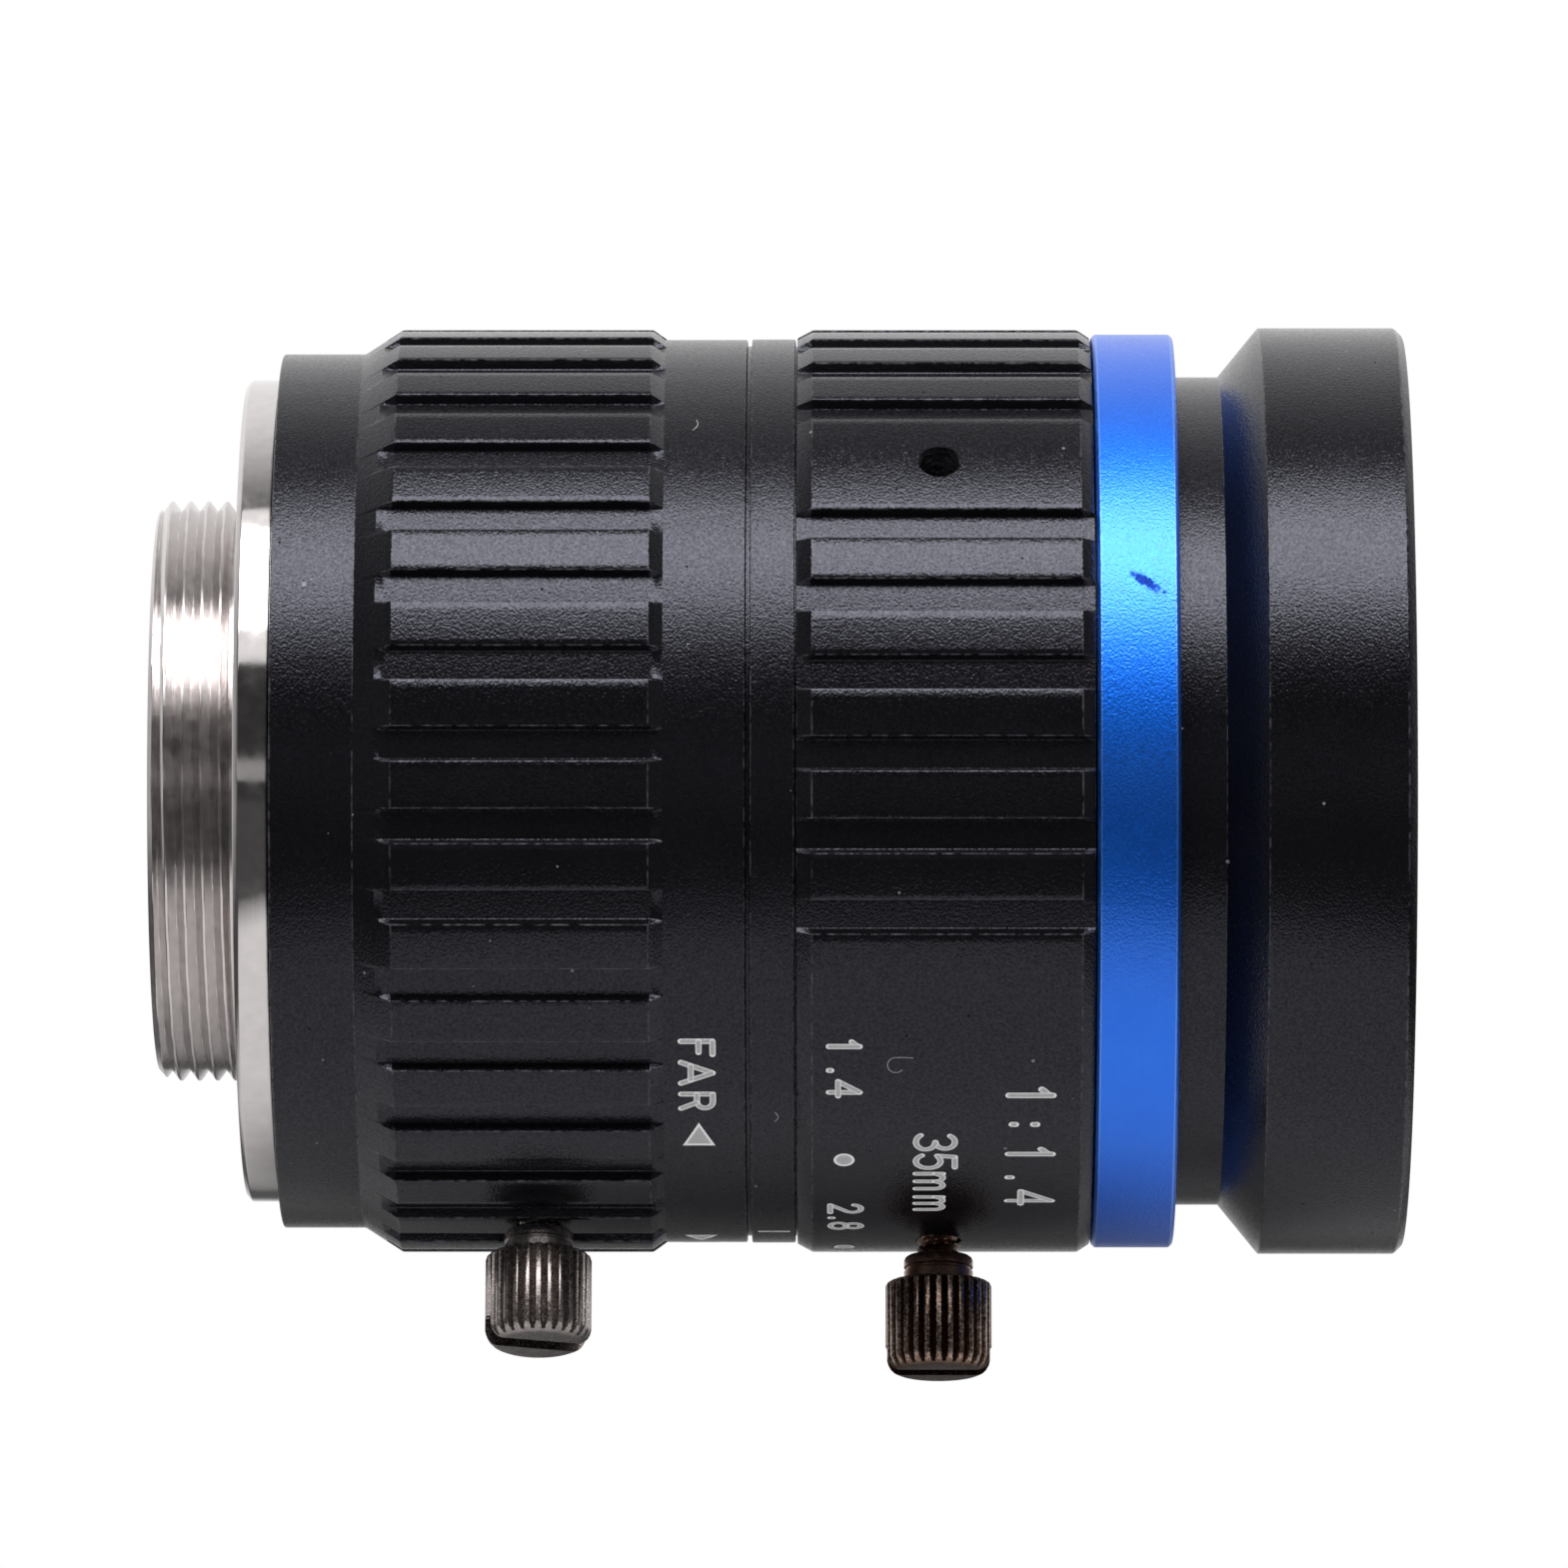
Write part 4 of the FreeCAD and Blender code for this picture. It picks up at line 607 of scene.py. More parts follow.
# Strokes of each figure, with a height of 1: across in reading direction, then up.
STROKES = {
    "F": [[(0, 0), (0, 1)], [(0, 1), (0.5, 1)], [(0, 0.56), (0.42, 0.56)]],
    "A": [[(0, 0), (0.42, 1)], [(0.42, 1), (0.84, 0)], [(0.13, 0.31), (0.71, 0.31)]],
    "R": [[(0, 0), (0, 1)], [(0, 1)] + arc(0.34, 0.75, 0.26, 0.25, 90, -90) + [(0, 0.5)],
          [(0.36, 0.5), (0.62, 0)]],
    "N": [[(0, 0), (0, 1)], [(0, 1), (0.6, 0)], [(0.6, 0), (0.6, 1)]],
    "E": [[(0, 0), (0, 1)], [(0, 1), (0.5, 1)], [(0, 0.53), (0.44, 0.53)], [(0, 0), (0.5, 0)]],
    "C": [arc(0.36, 0.5, 0.36, 0.5, 50, 310, 20)],
    "1": [[(0.1, 0.74)] + arc(0.02, 1.0, 0.26, 0.22, -60, 0, 6), [(0.28, 1.0), (0.28, 0.0)]],
    "2": [arc(0.29, 0.72, 0.28, 0.28, 170, -35, 14) + [(0.02, 0.02)], [(0.0, 0.0), (0.6, 0.0)]],
    "3": [arc(0.27, 0.75, 0.27, 0.25, 150, -90, 14), arc(0.27, 0.25, 0.3, 0.25, 90, -150, 14)],
    "4": [[(0.46, 0), (0.46, 1)], [(0.46, 1), (0.0, 0.3)], [(0.0, 0.3), (0.62, 0.3)]],
    "5": [[(0.54, 1), (0.08, 1)], [(0.08, 1), (0.03, 0.55)],
          [(0.03, 0.55)] + arc(0.27, 0.32, 0.29, 0.32, 110, -150, 16)],
    "6": [arc(0.5, 0.5, 0.5, 0.5, 95, 180, 8) + arc(0.28, 0.28, 0.28, 0.28, 180, -180, 22)],
    "8": [arc(0.29, 0.75, 0.23, 0.25, -90, 270, 22), arc(0.29, 0.26, 0.29, 0.26, 90, 450, 22)],
    "m": [[(0, 0), (0, 0.7)], [(0, 0.5)] + arc(0.19, 0.5, 0.17, 0.2, 160, 0, 8) + [(0.36, 0)],
          [(0.36, 0.5)] + arc(0.55, 0.5, 0.17, 0.2, 160, 0, 8) + [(0.72, 0)]],
    ".": [[(0.0, 0.0), (0.0, 0.08)]],
    ":": [[(0.0, 0.08), (0.0, 0.16)], [(0.0, 0.56), (0.0, 0.64)]],
}


def wrap_on(flat, radius, station, turn, lift):
    """Lays flat points (mm along the turn, mm along the axis) on the ring, at a lift over it.

    The point is (station + up, q cos t, q sin t), with t = turn + along / radius and
    q = radius + lift.
    """
    angle = np.radians(turn) + flat[..., 0] / radius
    reach = radius + lift
    points = np.stack([station + flat[..., 1], reach * np.cos(angle), reach * np.sin(angle)], -1)
    return points.reshape(-1, 3)


def stroke_band(path, width, radius, station, turn, lift=MARK_LIFT):
    """One engraved stroke as a thin closed band: points, faces and how bright its rim is.

    Rows stand at even steps along the path, p(s) + share * h(s) * n(s), with n square to the
    path and h half the width, which falls to nothing at both ends as the edge of a circle.
    """
    path = np.asarray(path, dtype=float)
    leg = np.hypot(*np.diff(path, axis=0).T)
    run = np.concatenate([[0.0], np.cumsum(leg)])
    half, step, near = width / 2, 0.09, 0.02
    inner = np.linspace(0.0, run[-1], max(3, int(run[-1] / step)))
    caps = half * np.array([0.97, 0.8, 0.45])
    s = np.concatenate([-caps, inner, run[-1] + caps[::-1]])
    held = np.clip(s, 0.0, run[-1])

    def at(distance):
        distance = np.clip(distance, 0, run[-1])
        return np.stack([np.interp(distance, run, path[:, k]) for k in (0, 1)], axis=1)

    ahead = at(held + near) - at(held - near)
    ahead /= np.linalg.norm(ahead, axis=1)[:, None]
    along = at(held) + ahead * (s - held)[:, None]
    normal = np.stack([-ahead[:, 1], ahead[:, 0]], axis=1)
    spread = half * np.sqrt(np.clip(1.0 - ((s - held) / half) ** 2, 0.02, 1.0))
    share = np.array([-1.0, -1.0, -0.42, 0.42, 1.0, 1.0])
    level = np.array([MARK_FOOT, lift, lift, lift, lift, MARK_FOOT])
    rim = np.array([1.0, 1.0, 0.0, 0.0, 1.0, 1.0])
    flat = along[:, None, :] + (spread[:, None] * share)[..., None] * normal[:, None, :]
    end = np.where((s < 0) | (s > run[-1]), 1.0, 0.0)
    return (wrap_on(flat, radius, station, turn, level), capped_faces(len(s), len(share)),
            np.maximum(rim, end[:, None]).reshape(-1))


def filled_mark(outline, radius, station, turn):
    """A filled mark: rings of its outline drawn in towards its middle by shares of 1 to 0."""
    outline = np.asarray(outline, dtype=float)
    middle = outline.mean(axis=0)
    share = np.array([1.0, 1.0, 0.8, 0.7, 0.02])
    level = np.array([MARK_FOOT, MARK_LIFT, MARK_LIFT, MARK_LIFT, MARK_LIFT])
    rim = np.array([1.0, 1.0, 1.0, 0.0, 0.0])
    flat = middle + share[:, None, None] * (outline - middle)
    return (wrap_on(flat, radius, station, turn, level[:, None]),
            capped_faces(len(share), len(outline)), np.repeat(rim, len(outline)))


def gather(name, parts, body):
    """Joins several closed marks into one piece on a body."""
    points, faces, rims, count = [], [], [], 0
    for part_points, part_faces, rim in parts:
        faces += [[corner + count for corner in face] for face in part_faces]
        points.append(part_points)
        rims.append(rim)
        count += len(part_points)
    piece = make_piece(name, np.concatenate(points), faces, body, "black_anodised", 40.0,
                       np.concatenate(rims))
    turn_outward(piece)


def lettered(text, radius, station, height, width):
    """Strokes of a row of figures, each given with the turn at which its left side starts.

    A figure's strokes stand 0.0006 mm over each other, so that they don't flicker.
    """
    parts = []
    for figure, start in text:
        for index, path in enumerate(STROKES[figure]):
            flat = np.asarray(path, dtype=float) * height
            parts.append(stroke_band(flat, width, radius, station, start,
                                     MARK_LIFT + 0.0006 * index))
    return parts


def spread_text(text, middle, radius, height):
    """Turns at which the figures of a short text start, so that its middle is at a turn."""
    gap = 0.36 * height
    widths = [max(x for path in STROKES[figure] for x, _ in path) * height for figure in text]
    starts, at = [], -(sum(widths) + gap * (len(text) - 1)) / 2
    for width in widths:
        starts.append(middle + math.degrees(at / radius))
        at += width + gap
    return list(zip(text, starts))


def dot(size):
    """Outline of a round mark."""
    return arc(0.0, 0.0, size, size, 0, 345, 24)


def arrowhead(size, width):
    """Outline of a triangular mark whose point comes first in reading direction."""
    corners = np.array([(0.0, 0.0), (size, width / 2), (size, -width / 2)])
    sides = [np.linspace(corners[k], corners[(k + 1) % 3], 9)[:-1] for k in range(3)]
    return np.concatenate(sides)


def laser_marks():
    """Marks burnt into the black anodising: focus arrows, index line, stops and two figures."""
    tall, wide = 1.36, 0.27
    focus = lettered([("F", 212.7), ("A", 215.9), ("R", 221.0)], BAND_R, 19.12, tall, wide)
    for size, point in ((1.5, 226.0), (-1.5, 262.4)):
        focus.append(filled_mark(arrowhead(size, 1.4), BAND_R, 19.87, point))
    focus += lettered(spread_text("NEAR", 272.5, BAND_R, tall), BAND_R, 19.12, tall, wide)
    gather("focus_scale_marks", focus, "focus_ring")
    index = stroke_band([(0.0, 22.45), (0.0, 23.66)], 0.2, INDEX_R, 0.0, 255.5)
    gather("index_line_mark", [index], "front_unit")
    stops = lettered([("1", 211.6), (".", 216.2), ("4", 217.9)], CREST_R, 25.45, 1.32, 0.26)
    stops += lettered([("2", 242.2), (".", 246.1), ("8", 247.8)], CREST_R, 25.5, 1.34, 0.26)
    for text, middle in (("5.6", 272.8), ("11", 299.8), ("C", 326.3)):
        stops += lettered(spread_text(text, middle, CREST_R, 1.33), CREST_R, 25.5, 1.33, 0.26)
    for middle in (231.7, 259.6, 286.3, 313.3):
        stops.append(filled_mark(dot(0.45), CREST_R, 26.1, middle))
    gather("iris_scale_marks", stops, "iris_ring")
    length = [("3", 226.9), ("5", 230.7), ("m", 234.6), ("m", 240.1)]
    gather("focal_length_mark", lettered(length, CREST_R, 29.18, 1.68, 0.27), "iris_ring")
    ratio = [("1", 218.6), (":", 225.0), ("1", 229.0), (".", 235.4), ("4", 238.6)]
    gather("aperture_ratio_mark", lettered(ratio, CREST_R, 33.15, 1.9, 0.3), "iris_ring")


def dust_fibres():
    """Three fibres of lint, 0.045 mm thick, that have settled on the rings.

    Each path is in millimetres round and along the ring, from the turn and station given. The
    curl is an arc, (0.4 sin t, 0.355 cos t) for t from 40 to 275 degrees, with a straight tail.
    """
    t = np.radians(np.linspace(40.0, 275.0, 24))
    curl = [*zip(0.4 * np.sin(t), 0.355 * np.cos(t)), (-0.41, 0.3), (-0.38, 0.72)]
    hook = [(-0.27, -0.02), (-0.1, 0.1), (0.0, 0.13), (0.12, 0.1), (0.27, -0.02)]
    bow = [(-0.36, 0.0), (-0.12, 0.07), (0.0, 0.06), (0.2, -0.02), (0.36, -0.15)]
    for name, path, radius, station, turn, body in (
            ("iris_lint_fibre", curl, CREST_R, 28.31, 215.4, "iris_ring"),
            ("index_lint_fibre", hook, INDEX_R, 23.16, 224.9, "front_unit"),
            ("focus_lint_fibre", bow, BAND_R, 19.75, 127.2, "focus_ring")):
        gather(name, [stroke_band(path, 0.045, radius, station, turn)], body)


# ---------------------------------------------------------------- materials

def linear(colour):
    """An sRGB hex colour as the linear numbers that the shaders use."""
    parts = np.array([int(colour[k:k + 2], 16) / 255.0 for k in (1, 3, 5)])
    parts = np.where(parts <= 0.04045, parts / 12.92, ((parts + 0.055) / 1.055) ** 2.4)
    return (*parts.tolist(), 1.0)


def add(tree, kind, inputs=None, **settings):
    """Adds a shader node: settings are its own properties, inputs are values, sockets or nodes.

    A node stands for its first output that is in use, and text for an sRGB hex colour. Inputs
    that share a name go by number: a Mix of colours takes its share at 0, its colours at 6
    and 7.
    """
    made = tree.nodes.new("ShaderNode" + kind)
    for name, value in settings.items():
        setattr(made, name, value)
    for name, value in (inputs or {}).items():
        if isinstance(value, bpy.types.Node):
            value = next(socket for socket in value.outputs if socket.enabled)
        elif isinstance(value, str):
            value = linear(value)
        if isinstance(value, bpy.types.NodeSocket):
            tree.links.new(value, made.inputs[name])
        else:
            made.inputs[name].default_value = value
    return made


def new_material(name):
    """An empty node material, its tree and a node with Object coordinates in millimetres."""
    made = bpy.data.materials.new(name)
    made.use_nodes = True
    tree = made.node_tree
    tree.nodes.clear()
    coordinates = add(tree, "TexCoord")
    place = add(tree, "VectorMath", {
        0: coordinates.outputs["Object"], 1: (1000.0, 1000.0, 1000.0)}, operation="MULTIPLY")
    return made, tree, place


def close_material(tree, **inputs):
    """Ends a material in one surface shader, whose sockets are filled by name."""
    named = {name.replace("_", " "): value for name, value in inputs.items()}
    shader = add(tree, "BsdfPrincipled", named)
    add(tree, "OutputMaterial", {"Surface": shader})


def black_anodised_aluminium():
    """Turned aluminium, bead blasted and dyed black in the anodising bath.

    Blasting leaves a fine pebbled grain that breaks the highlight up into glitter. Handled
    corners have worn to a thin bare line, painted light grey so that it also stands as a painted
    highlight for the light that the sharp corners catch, and a few specks of dust lie on it. The
    oxide gives its highlights a faint lavender cast, and a few pits stay dull in them.
    """
    made, tree, place = new_material("black_anodised_aluminium")
    grain = add(tree, "TexNoise", {
        "Vector": place, "Scale": BLAST_GRAIN, "Detail": 1.0, "Roughness": 0.5})
    # Some facets of the grain throw the light back and some don't.
    glitter = add(tree, "TexNoise", {
        "Vector": place, "Scale": 8.0, "Detail": 1.0, "W": 3.0}, noise_dimensions="4D")
    shine = add(tree, "MapRange", {
        "Value": glitter, "From Min": 0.3, "From Max": 0.7, "To Min": 0.27, "To Max": 0.51})
    cloudy = add(tree, "TexNoise", {"Vector": place, "Scale": 0.35, "Detail": 3.0})
    # Dust lies in loose patches, a speck about every millimetre.
    specks = add(tree, "TexVoronoi", {"Vector": place, "Scale": 0.9})
    patchy = add(tree, "TexNoise", {"Vector": place, "Scale": 0.8, "Detail": 1.0})
    dust_size = add(tree, "MapRange", {
        "Value": patchy, "From Min": 0.54, "From Max": 0.78, "To Min": 0.0, "To Max": 0.11})
    dust = add(tree, "Math", {0: specks, 1: dust_size}, operation="LESS_THAN")
    wear_and_highlight_noise = add(tree, "TexNoise", {"Vector": place, "Scale": 2.6, "Detail": 3.0})
    edge = add(tree, "Attribute", attribute_name="edge")
    wear_and_highlight_here = add(tree, "MapRange", {
        "Value": wear_and_highlight_noise, "From Min": 0.42, "From Max": 0.66, "To Max": 0.75})
    wear_and_highlight = add(tree, "Math", {
        0: edge.outputs["Fac"], 1: wear_and_highlight_here}, operation="MULTIPLY", use_clamp=True)
    dye = add(tree, "Mix", {0: cloudy, 6: "#070709", 7: "#0d0d10"}, data_type="RGBA")
    dusty = add(tree, "Mix", {0: dust, 6: dye, 7: "#6e6e72"}, data_type="RGBA")
    # Painted highlight and wear: along the marked corners the colour turns light grey, for bare
    # metal and for the light that the sharp corners catch.
    colour = add(tree, "Mix", {0: wear_and_highlight, 6: dusty, 7: "#6c6c72"}, data_type="RGBA")
    # Fingers have smoothed the crests of the ribs.
    section = add(tree, "VectorMath", {0: place, 1: ACROSS_AXIS}, operation="MULTIPLY")
    out = add(tree, "VectorMath", {0: section}, operation="LENGTH")
    held = add(tree, "MapRange", {
        "Value": out, "From Min": CREST_R - 0.18, "From Max": CREST_R - 0.04, "To Max": 0.05})
    gloss = add(tree, "MapRange", {
        "Value": grain, "From Min": 0.3, "From Max": 0.7, "To Min": 0.15, "To Max": 0.28})
    even = add(tree, "Math", {0: gloss, 1: held}, operation="SUBTRACT")
    # A pit about every 2 mm, 0.1 mm wide, is fully rough.
    holes = add(tree, "TexVoronoi", {"Vector": place, "Scale": 0.55})
    pit = add(tree, "Math", {0: holes, 1: 0.035}, operation="LESS_THAN")
    rough = add(tree, "Math", {0: even, 1: pit}, operation="MAXIMUM")
    bump = add(tree, "Bump", {"Height": grain, "Strength": 1.0, "Distance": 0.00002})
    close_material(
        tree, Base_Color=colour, Roughness=rough, Specular_IOR_Level=shine,
        Specular_Tint="#eaebff", Normal=bump)
    return made


def matt_black_aluminium():
    """Aluminium turned with a sharp tool and dyed matt black, so that light dies inside.

    Fine tool rings every 0.25 mm round the axis show as faint lines.
    """
    made, tree, place = new_material("matt_black_aluminium")
    rings = add(tree, "TexWave", {
        "Vector": place, "Scale": 1.3, "Distortion": 0.4, "Detail": 2.0}, bands_direction="X")
    cloudy = add(tree, "TexNoise", {"Vector": place, "Scale": 0.9, "Detail": 3.0})
    dye = add(tree, "Mix", {0: cloudy, 6: "#0a0a0b", 7: "#161618"}, data_type="RGBA")
    bump = add(tree, "Bump", {
        "Height": rings.outputs["Fac"], "Strength": 0.5, "Distance": 0.00002})
    close_material(tree, Base_Color=dye, Roughness=0.62, Specular_IOR_Level=0.3, Normal=bump)
    return made


def blue_anodised_aluminium():
    """Turned and blasted aluminium under a clear blue dyed oxide: a coloured, satin metal.

    The oxide's own surface adds a whiter sheen over the blue, and its grain shows in it.
    One short dark scuff crosses it where something hard has knocked it.
    """
    made, tree, place = new_material("blue_anodised_aluminium")
    grain = add(tree, "TexNoise", {
        "Vector": place, "Scale": BLAST_GRAIN, "Detail": 1.0, "Roughness": 0.5})
    cloudy = add(tree, "TexNoise", {"Vector": place, "Scale": 0.5, "Detail": 3.0})
    flow = add(tree, "Mapping", {"Vector": place, "Scale": (3.0, 0.5, 0.5)})
    streak = add(tree, "TexNoise", {"Vector": flow, "Scale": 1.6, "Detail": 4.0})
    edge = add(tree, "Attribute", attribute_name="edge")
    tint = add(tree, "Mix", {0: cloudy, 6: "#1268ea", 7: "#1e7cf4"}, data_type="RGBA")
    streaky = add(tree, "Mix", {0: streak, 6: tint, 7: "#1470ee"}, data_type="RGBA")
    # Painted highlight: the bevelled edges turn pale blue, as if they caught the light.
    painted_edge_highlight = add(tree, "Mix", {0: edge.outputs["Fac"], 6: streaky, 7: "#8fc0f4"}, data_type="RGBA")
    # The scuff is where this place, measured in a long thin ball round its middle, is near 0.
    knock = add(tree, "Mapping", {
        "Vector": place, "Location": SCUFF_MIDDLE, "Rotation": (0.0, math.radians(33.0), 0.0),
        "Scale": (0.9, 2.5, 0.24)}, vector_type="TEXTURE")
    ragged = add(tree, "TexNoise", {"Vector": place, "Scale": 5.0, "Detail": 4.0})
    reach = add(tree, "VectorMath", {0: knock}, operation="LENGTH")
    torn = add(tree, "Math", {0: ragged, 1: 1.7, 2: reach}, operation="MULTIPLY_ADD")
    scuff = add(tree, "MapRange", {
        "Value": torn, "From Min": 1.5, "From Max": 1.9, "To Min": 1.0, "To Max": 0.0})
    colour = add(tree, "Mix", {0: scuff, 6: painted_edge_highlight, 7: "#06246c"}, data_type="RGBA")
    rough = add(tree, "MapRange", {
        "Value": grain, "From Min": 0.3, "From Max": 0.7, "To Min": 0.36, "To Max": 0.47})
    oxide = add(tree, "Math", {0: scuff, 1: -0.42, 2: 0.46}, operation="MULTIPLY_ADD")
    bump = add(tree, "Bump", {"Height": grain, "Strength": 1.0, "Distance": 0.00002})
    close_material(
        tree, Base_Color=colour, Metallic=1.0, Roughness=rough, Normal=bump, Coat_Weight=oxide,
        Coat_Roughness=0.2, Coat_IOR=1.65, Coat_Normal=bump)
    return made


def chromed_brass():
    """Brass turned, then plated with bright nickel and chrome: a mirror with fine turning rings.

    The thread's cut flanks stay duller under the plating than the polished flange.
    """
    made, tree, place = new_material("chromed_brass")
    squeeze = add(tree, "Mapping", {"Vector": place, "Scale": (9.0, 0.35, 0.35)})
    rings = add(tree, "TexNoise", {"Vector": squeeze, "Scale": 1.0, "Detail": 4.0})
    spots = add(tree, "TexNoise", {"Vector": place, "Scale": 1.6, "Detail": 2.0})
    tint = add(tree, "Mix", {0: spots, 6: "#cac5c4", 7: "#e0dbda"}, data_type="RGBA")
    gloss = add(tree, "MapRange", {
        "Value": spots, "From Min": 0.35, "From Max": 0.7, "To Min": 0.07, "To Max": 0.14})
    section = add(tree, "VectorMath", {0: place, 1: ACROSS_AXIS}, operation="MULTIPLY")
    out = add(tree, "VectorMath", {0: section}, operation="LENGTH")
    cut = add(tree, "MapRange", {
        "Value": out, "From Min": THREAD_R + 0.05, "From Max": THREAD_R + 0.2, "To Min": 0.1,
        "To Max": 0.0})
    rough = add(tree, "Math", {0: gloss, 1: cut}, operation="ADD")
    bump = add(tree, "Bump", {"Height": rings, "Strength": 0.35, "Distance": 0.00001})
    close_material(tree, Base_Color=tint, Metallic=1.0, Roughness=rough, Normal=bump)
    return made


def black_nickel_brass():
    """Brass, milled and plated with black nickel: dark, glossy, with a brown cast where thin.

    The front screw's plating is the thinner one, so it looks browner than the rear screw's.
    """
    made, tree, place = new_material("black_nickel_brass")
    thin = add(tree, "TexNoise", {"Vector": place, "Scale": 2.4, "Detail": 4.0})
    nicks = add(tree, "TexNoise", {"Vector": place, "Scale": 6.0, "Detail": 3.0, "Roughness": 0.7})
    edge = add(tree, "Attribute", attribute_name="edge")
    parts = add(tree, "SeparateXYZ", {0: place})
    ahead = add(tree, "Math", {0: parts.outputs["X"], 1: INDEX_REAR}, operation="GREATER_THAN")
    grey = add(tree, "Mix", {0: thin, 6: "#6e6868", 7: "#b4aba8"}, data_type="RGBA")
    brown = add(tree, "Mix", {0: thin, 6: "#4b3c38", 7: "#8a6e5e"}, data_type="RGBA")
    tint = add(tree, "Mix", {0: ahead, 6: grey, 7: brown}, data_type="RGBA")
    wear_and_highlight_here = add(tree, "MapRange", {"Value": nicks, "From Min": 0.45, "From Max": 0.65})
    wear_and_highlight = add(tree, "Math", {
        0: edge.outputs["Fac"], 1: wear_and_highlight_here}, operation="MULTIPLY", use_clamp=True)
    # Painted highlight and wear: the flute crests turn pale, for worn plating and for the glint
    # they catch.
    colour = add(tree, "Mix", {0: wear_and_highlight, 6: tint, 7: "#c2b4ac"}, data_type="RGBA")
    rough = add(tree, "MapRange", {
        "Value": nicks, "From Min": 0.3, "From Max": 0.7, "To Min": 0.16, "To Max": 0.34})
    bump = add(tree, "Bump", {"Height": nicks, "Strength": 0.4, "Distance": 0.000014})
    close_material(tree, Base_Color=colour, Metallic=1.0, Roughness=rough, Normal=bump)
    return made


def machined_brass():
    """Bare brass, sawn and milled, slightly dulled by handling."""
    made, tree, place = new_material("machined_brass")
    squeeze = add(tree, "Mapping", {"Vector": place, "Scale": (8.0, 1.0, 1.0)})
    cuts = add(tree, "TexNoise", {"Vector": squeeze, "Scale": 1.2, "Detail": 4.0})
    dull = add(tree, "TexNoise", {"Vector": place, "Scale": 0.8, "Detail": 3.0})
    tint = add(tree, "Mix", {0: dull, 6: "#8f6c2c", 7: "#d8b365"}, data_type="RGBA")
    bump = add(tree, "Bump", {"Height": cuts, "Strength": 0.5, "Distance": 0.00002})
    close_material(tree, Base_Color=tint, Metallic=1.0, Roughness=0.32, Normal=bump)
    return made


def natural_nylon():
    """Cut nylon rod: milky, slightly waxy, with saw marks."""
    made, tree, place = new_material("natural_nylon")
    milky = add(tree, "TexNoise", {"Vector": place, "Scale": 2.5, "Detail": 3.0})
    tint = add(tree, "Mix", {0: milky, 6: "#cdc9b8", 7: "#e8e5d8"}, data_type="RGBA")
    bump = add(tree, "Bump", {"Height": milky, "Strength": 0.4, "Distance": 0.00002})
    close_material(tree, Base_Color=tint, Roughness=0.45, Normal=bump)
    return made


def blued_spring_steel():
    """Rolled spring steel, blued dark: satin, with rolling lines along the sheet."""
    made, tree, place = new_material("blued_spring_steel")
    flow = add(tree, "Mapping", {"Vector": place, "Scale": (1.0, 5.0, 0.6)})
    lines = add(tree, "TexNoise", {"Vector": flow, "Scale": 1.5, "Detail": 4.0})
    tint = add(tree, "Mix", {0: lines, 6: "#2b2c33", 7: "#4b4c55"}, data_type="RGBA")
    bump = add(tree, "Bump", {"Height": lines, "Strength": 0.3, "Distance": 0.00001})
    close_material(tree, Base_Color=tint, Metallic=1.0, Roughness=0.42, Normal=bump)
    return made


def coated_optical_glass():
    """Polished glass with a thin anti-reflection coating, which gives a green and violet cast."""
    made, tree, place = new_material("coated_optical_glass")
    haze = add(tree, "TexNoise", {"Vector": place, "Scale": 0.6, "Detail": 3.0})
    rough = add(tree, "MapRange", {
        "Value": haze, "From Min": 0.45, "From Max": 0.8, "To Min": 0.0, "To Max": 0.02})
    tint = add(tree, "Mix", {0: haze, 6: "#f4faf6", 7: "#fbf6ff"}, data_type="RGBA")
    close_material(
        tree, Base_Color=tint, Roughness=rough, IOR=1.52, Transmission_Weight=1.0,
        Thin_Film_Thickness=310.0, Thin_Film_IOR=1.38)
    return made


def laser_burnt_mark():
    """Dye burnt out of the anodising by a laser: pale, dry, brighter along each stroke's rim."""
    made, tree, place = new_material("laser_burnt_mark")
    dots = add(tree, "TexNoise", {"Vector": place, "Scale": 9.0, "Detail": 2.0})
    rim = add(tree, "Attribute", attribute_name="edge")
    shift = add(tree, "Math", {0: rim.outputs["Fac"], 1: 0.75, 2: 0.1}, operation="MULTIPLY_ADD")
    spotty = add(tree, "Math", {
        0: dots, 1: 0.35, 2: shift}, operation="MULTIPLY_ADD", use_clamp=True)
    tint = add(tree, "Mix", {0: spotty, 6: "#8d8d8f", 7: "#ececec"}, data_type="RGBA")
    bump = add(tree, "Bump", {"Height": dots, "Strength": 0.5, "Distance": 0.00001})
    close_material(tree, Base_Color=tint, Roughness=0.6, Specular_IOR_Level=0.4, Normal=bump)
    return made


def settled_lint():
    """A pale cotton fibre that has settled on the lens: dull, a little uneven."""
    made, tree, place = new_material("settled_lint")
    uneven = add(tree, "TexNoise", {"Vector": place, "Scale": 6.0, "Detail": 2.0})
    tint = add(tree, "Mix", {0: uneven, 6: "#5e5d60", 7: "#a9a7a8"}, data_type="RGBA")
    bump = add(tree, "Bump", {"Height": uneven, "Strength": 0.3, "Distance": 0.00001})
    close_material(tree, Base_Color=tint, Roughness=0.8, Specular_IOR_Level=0.2, Normal=bump)
    return made


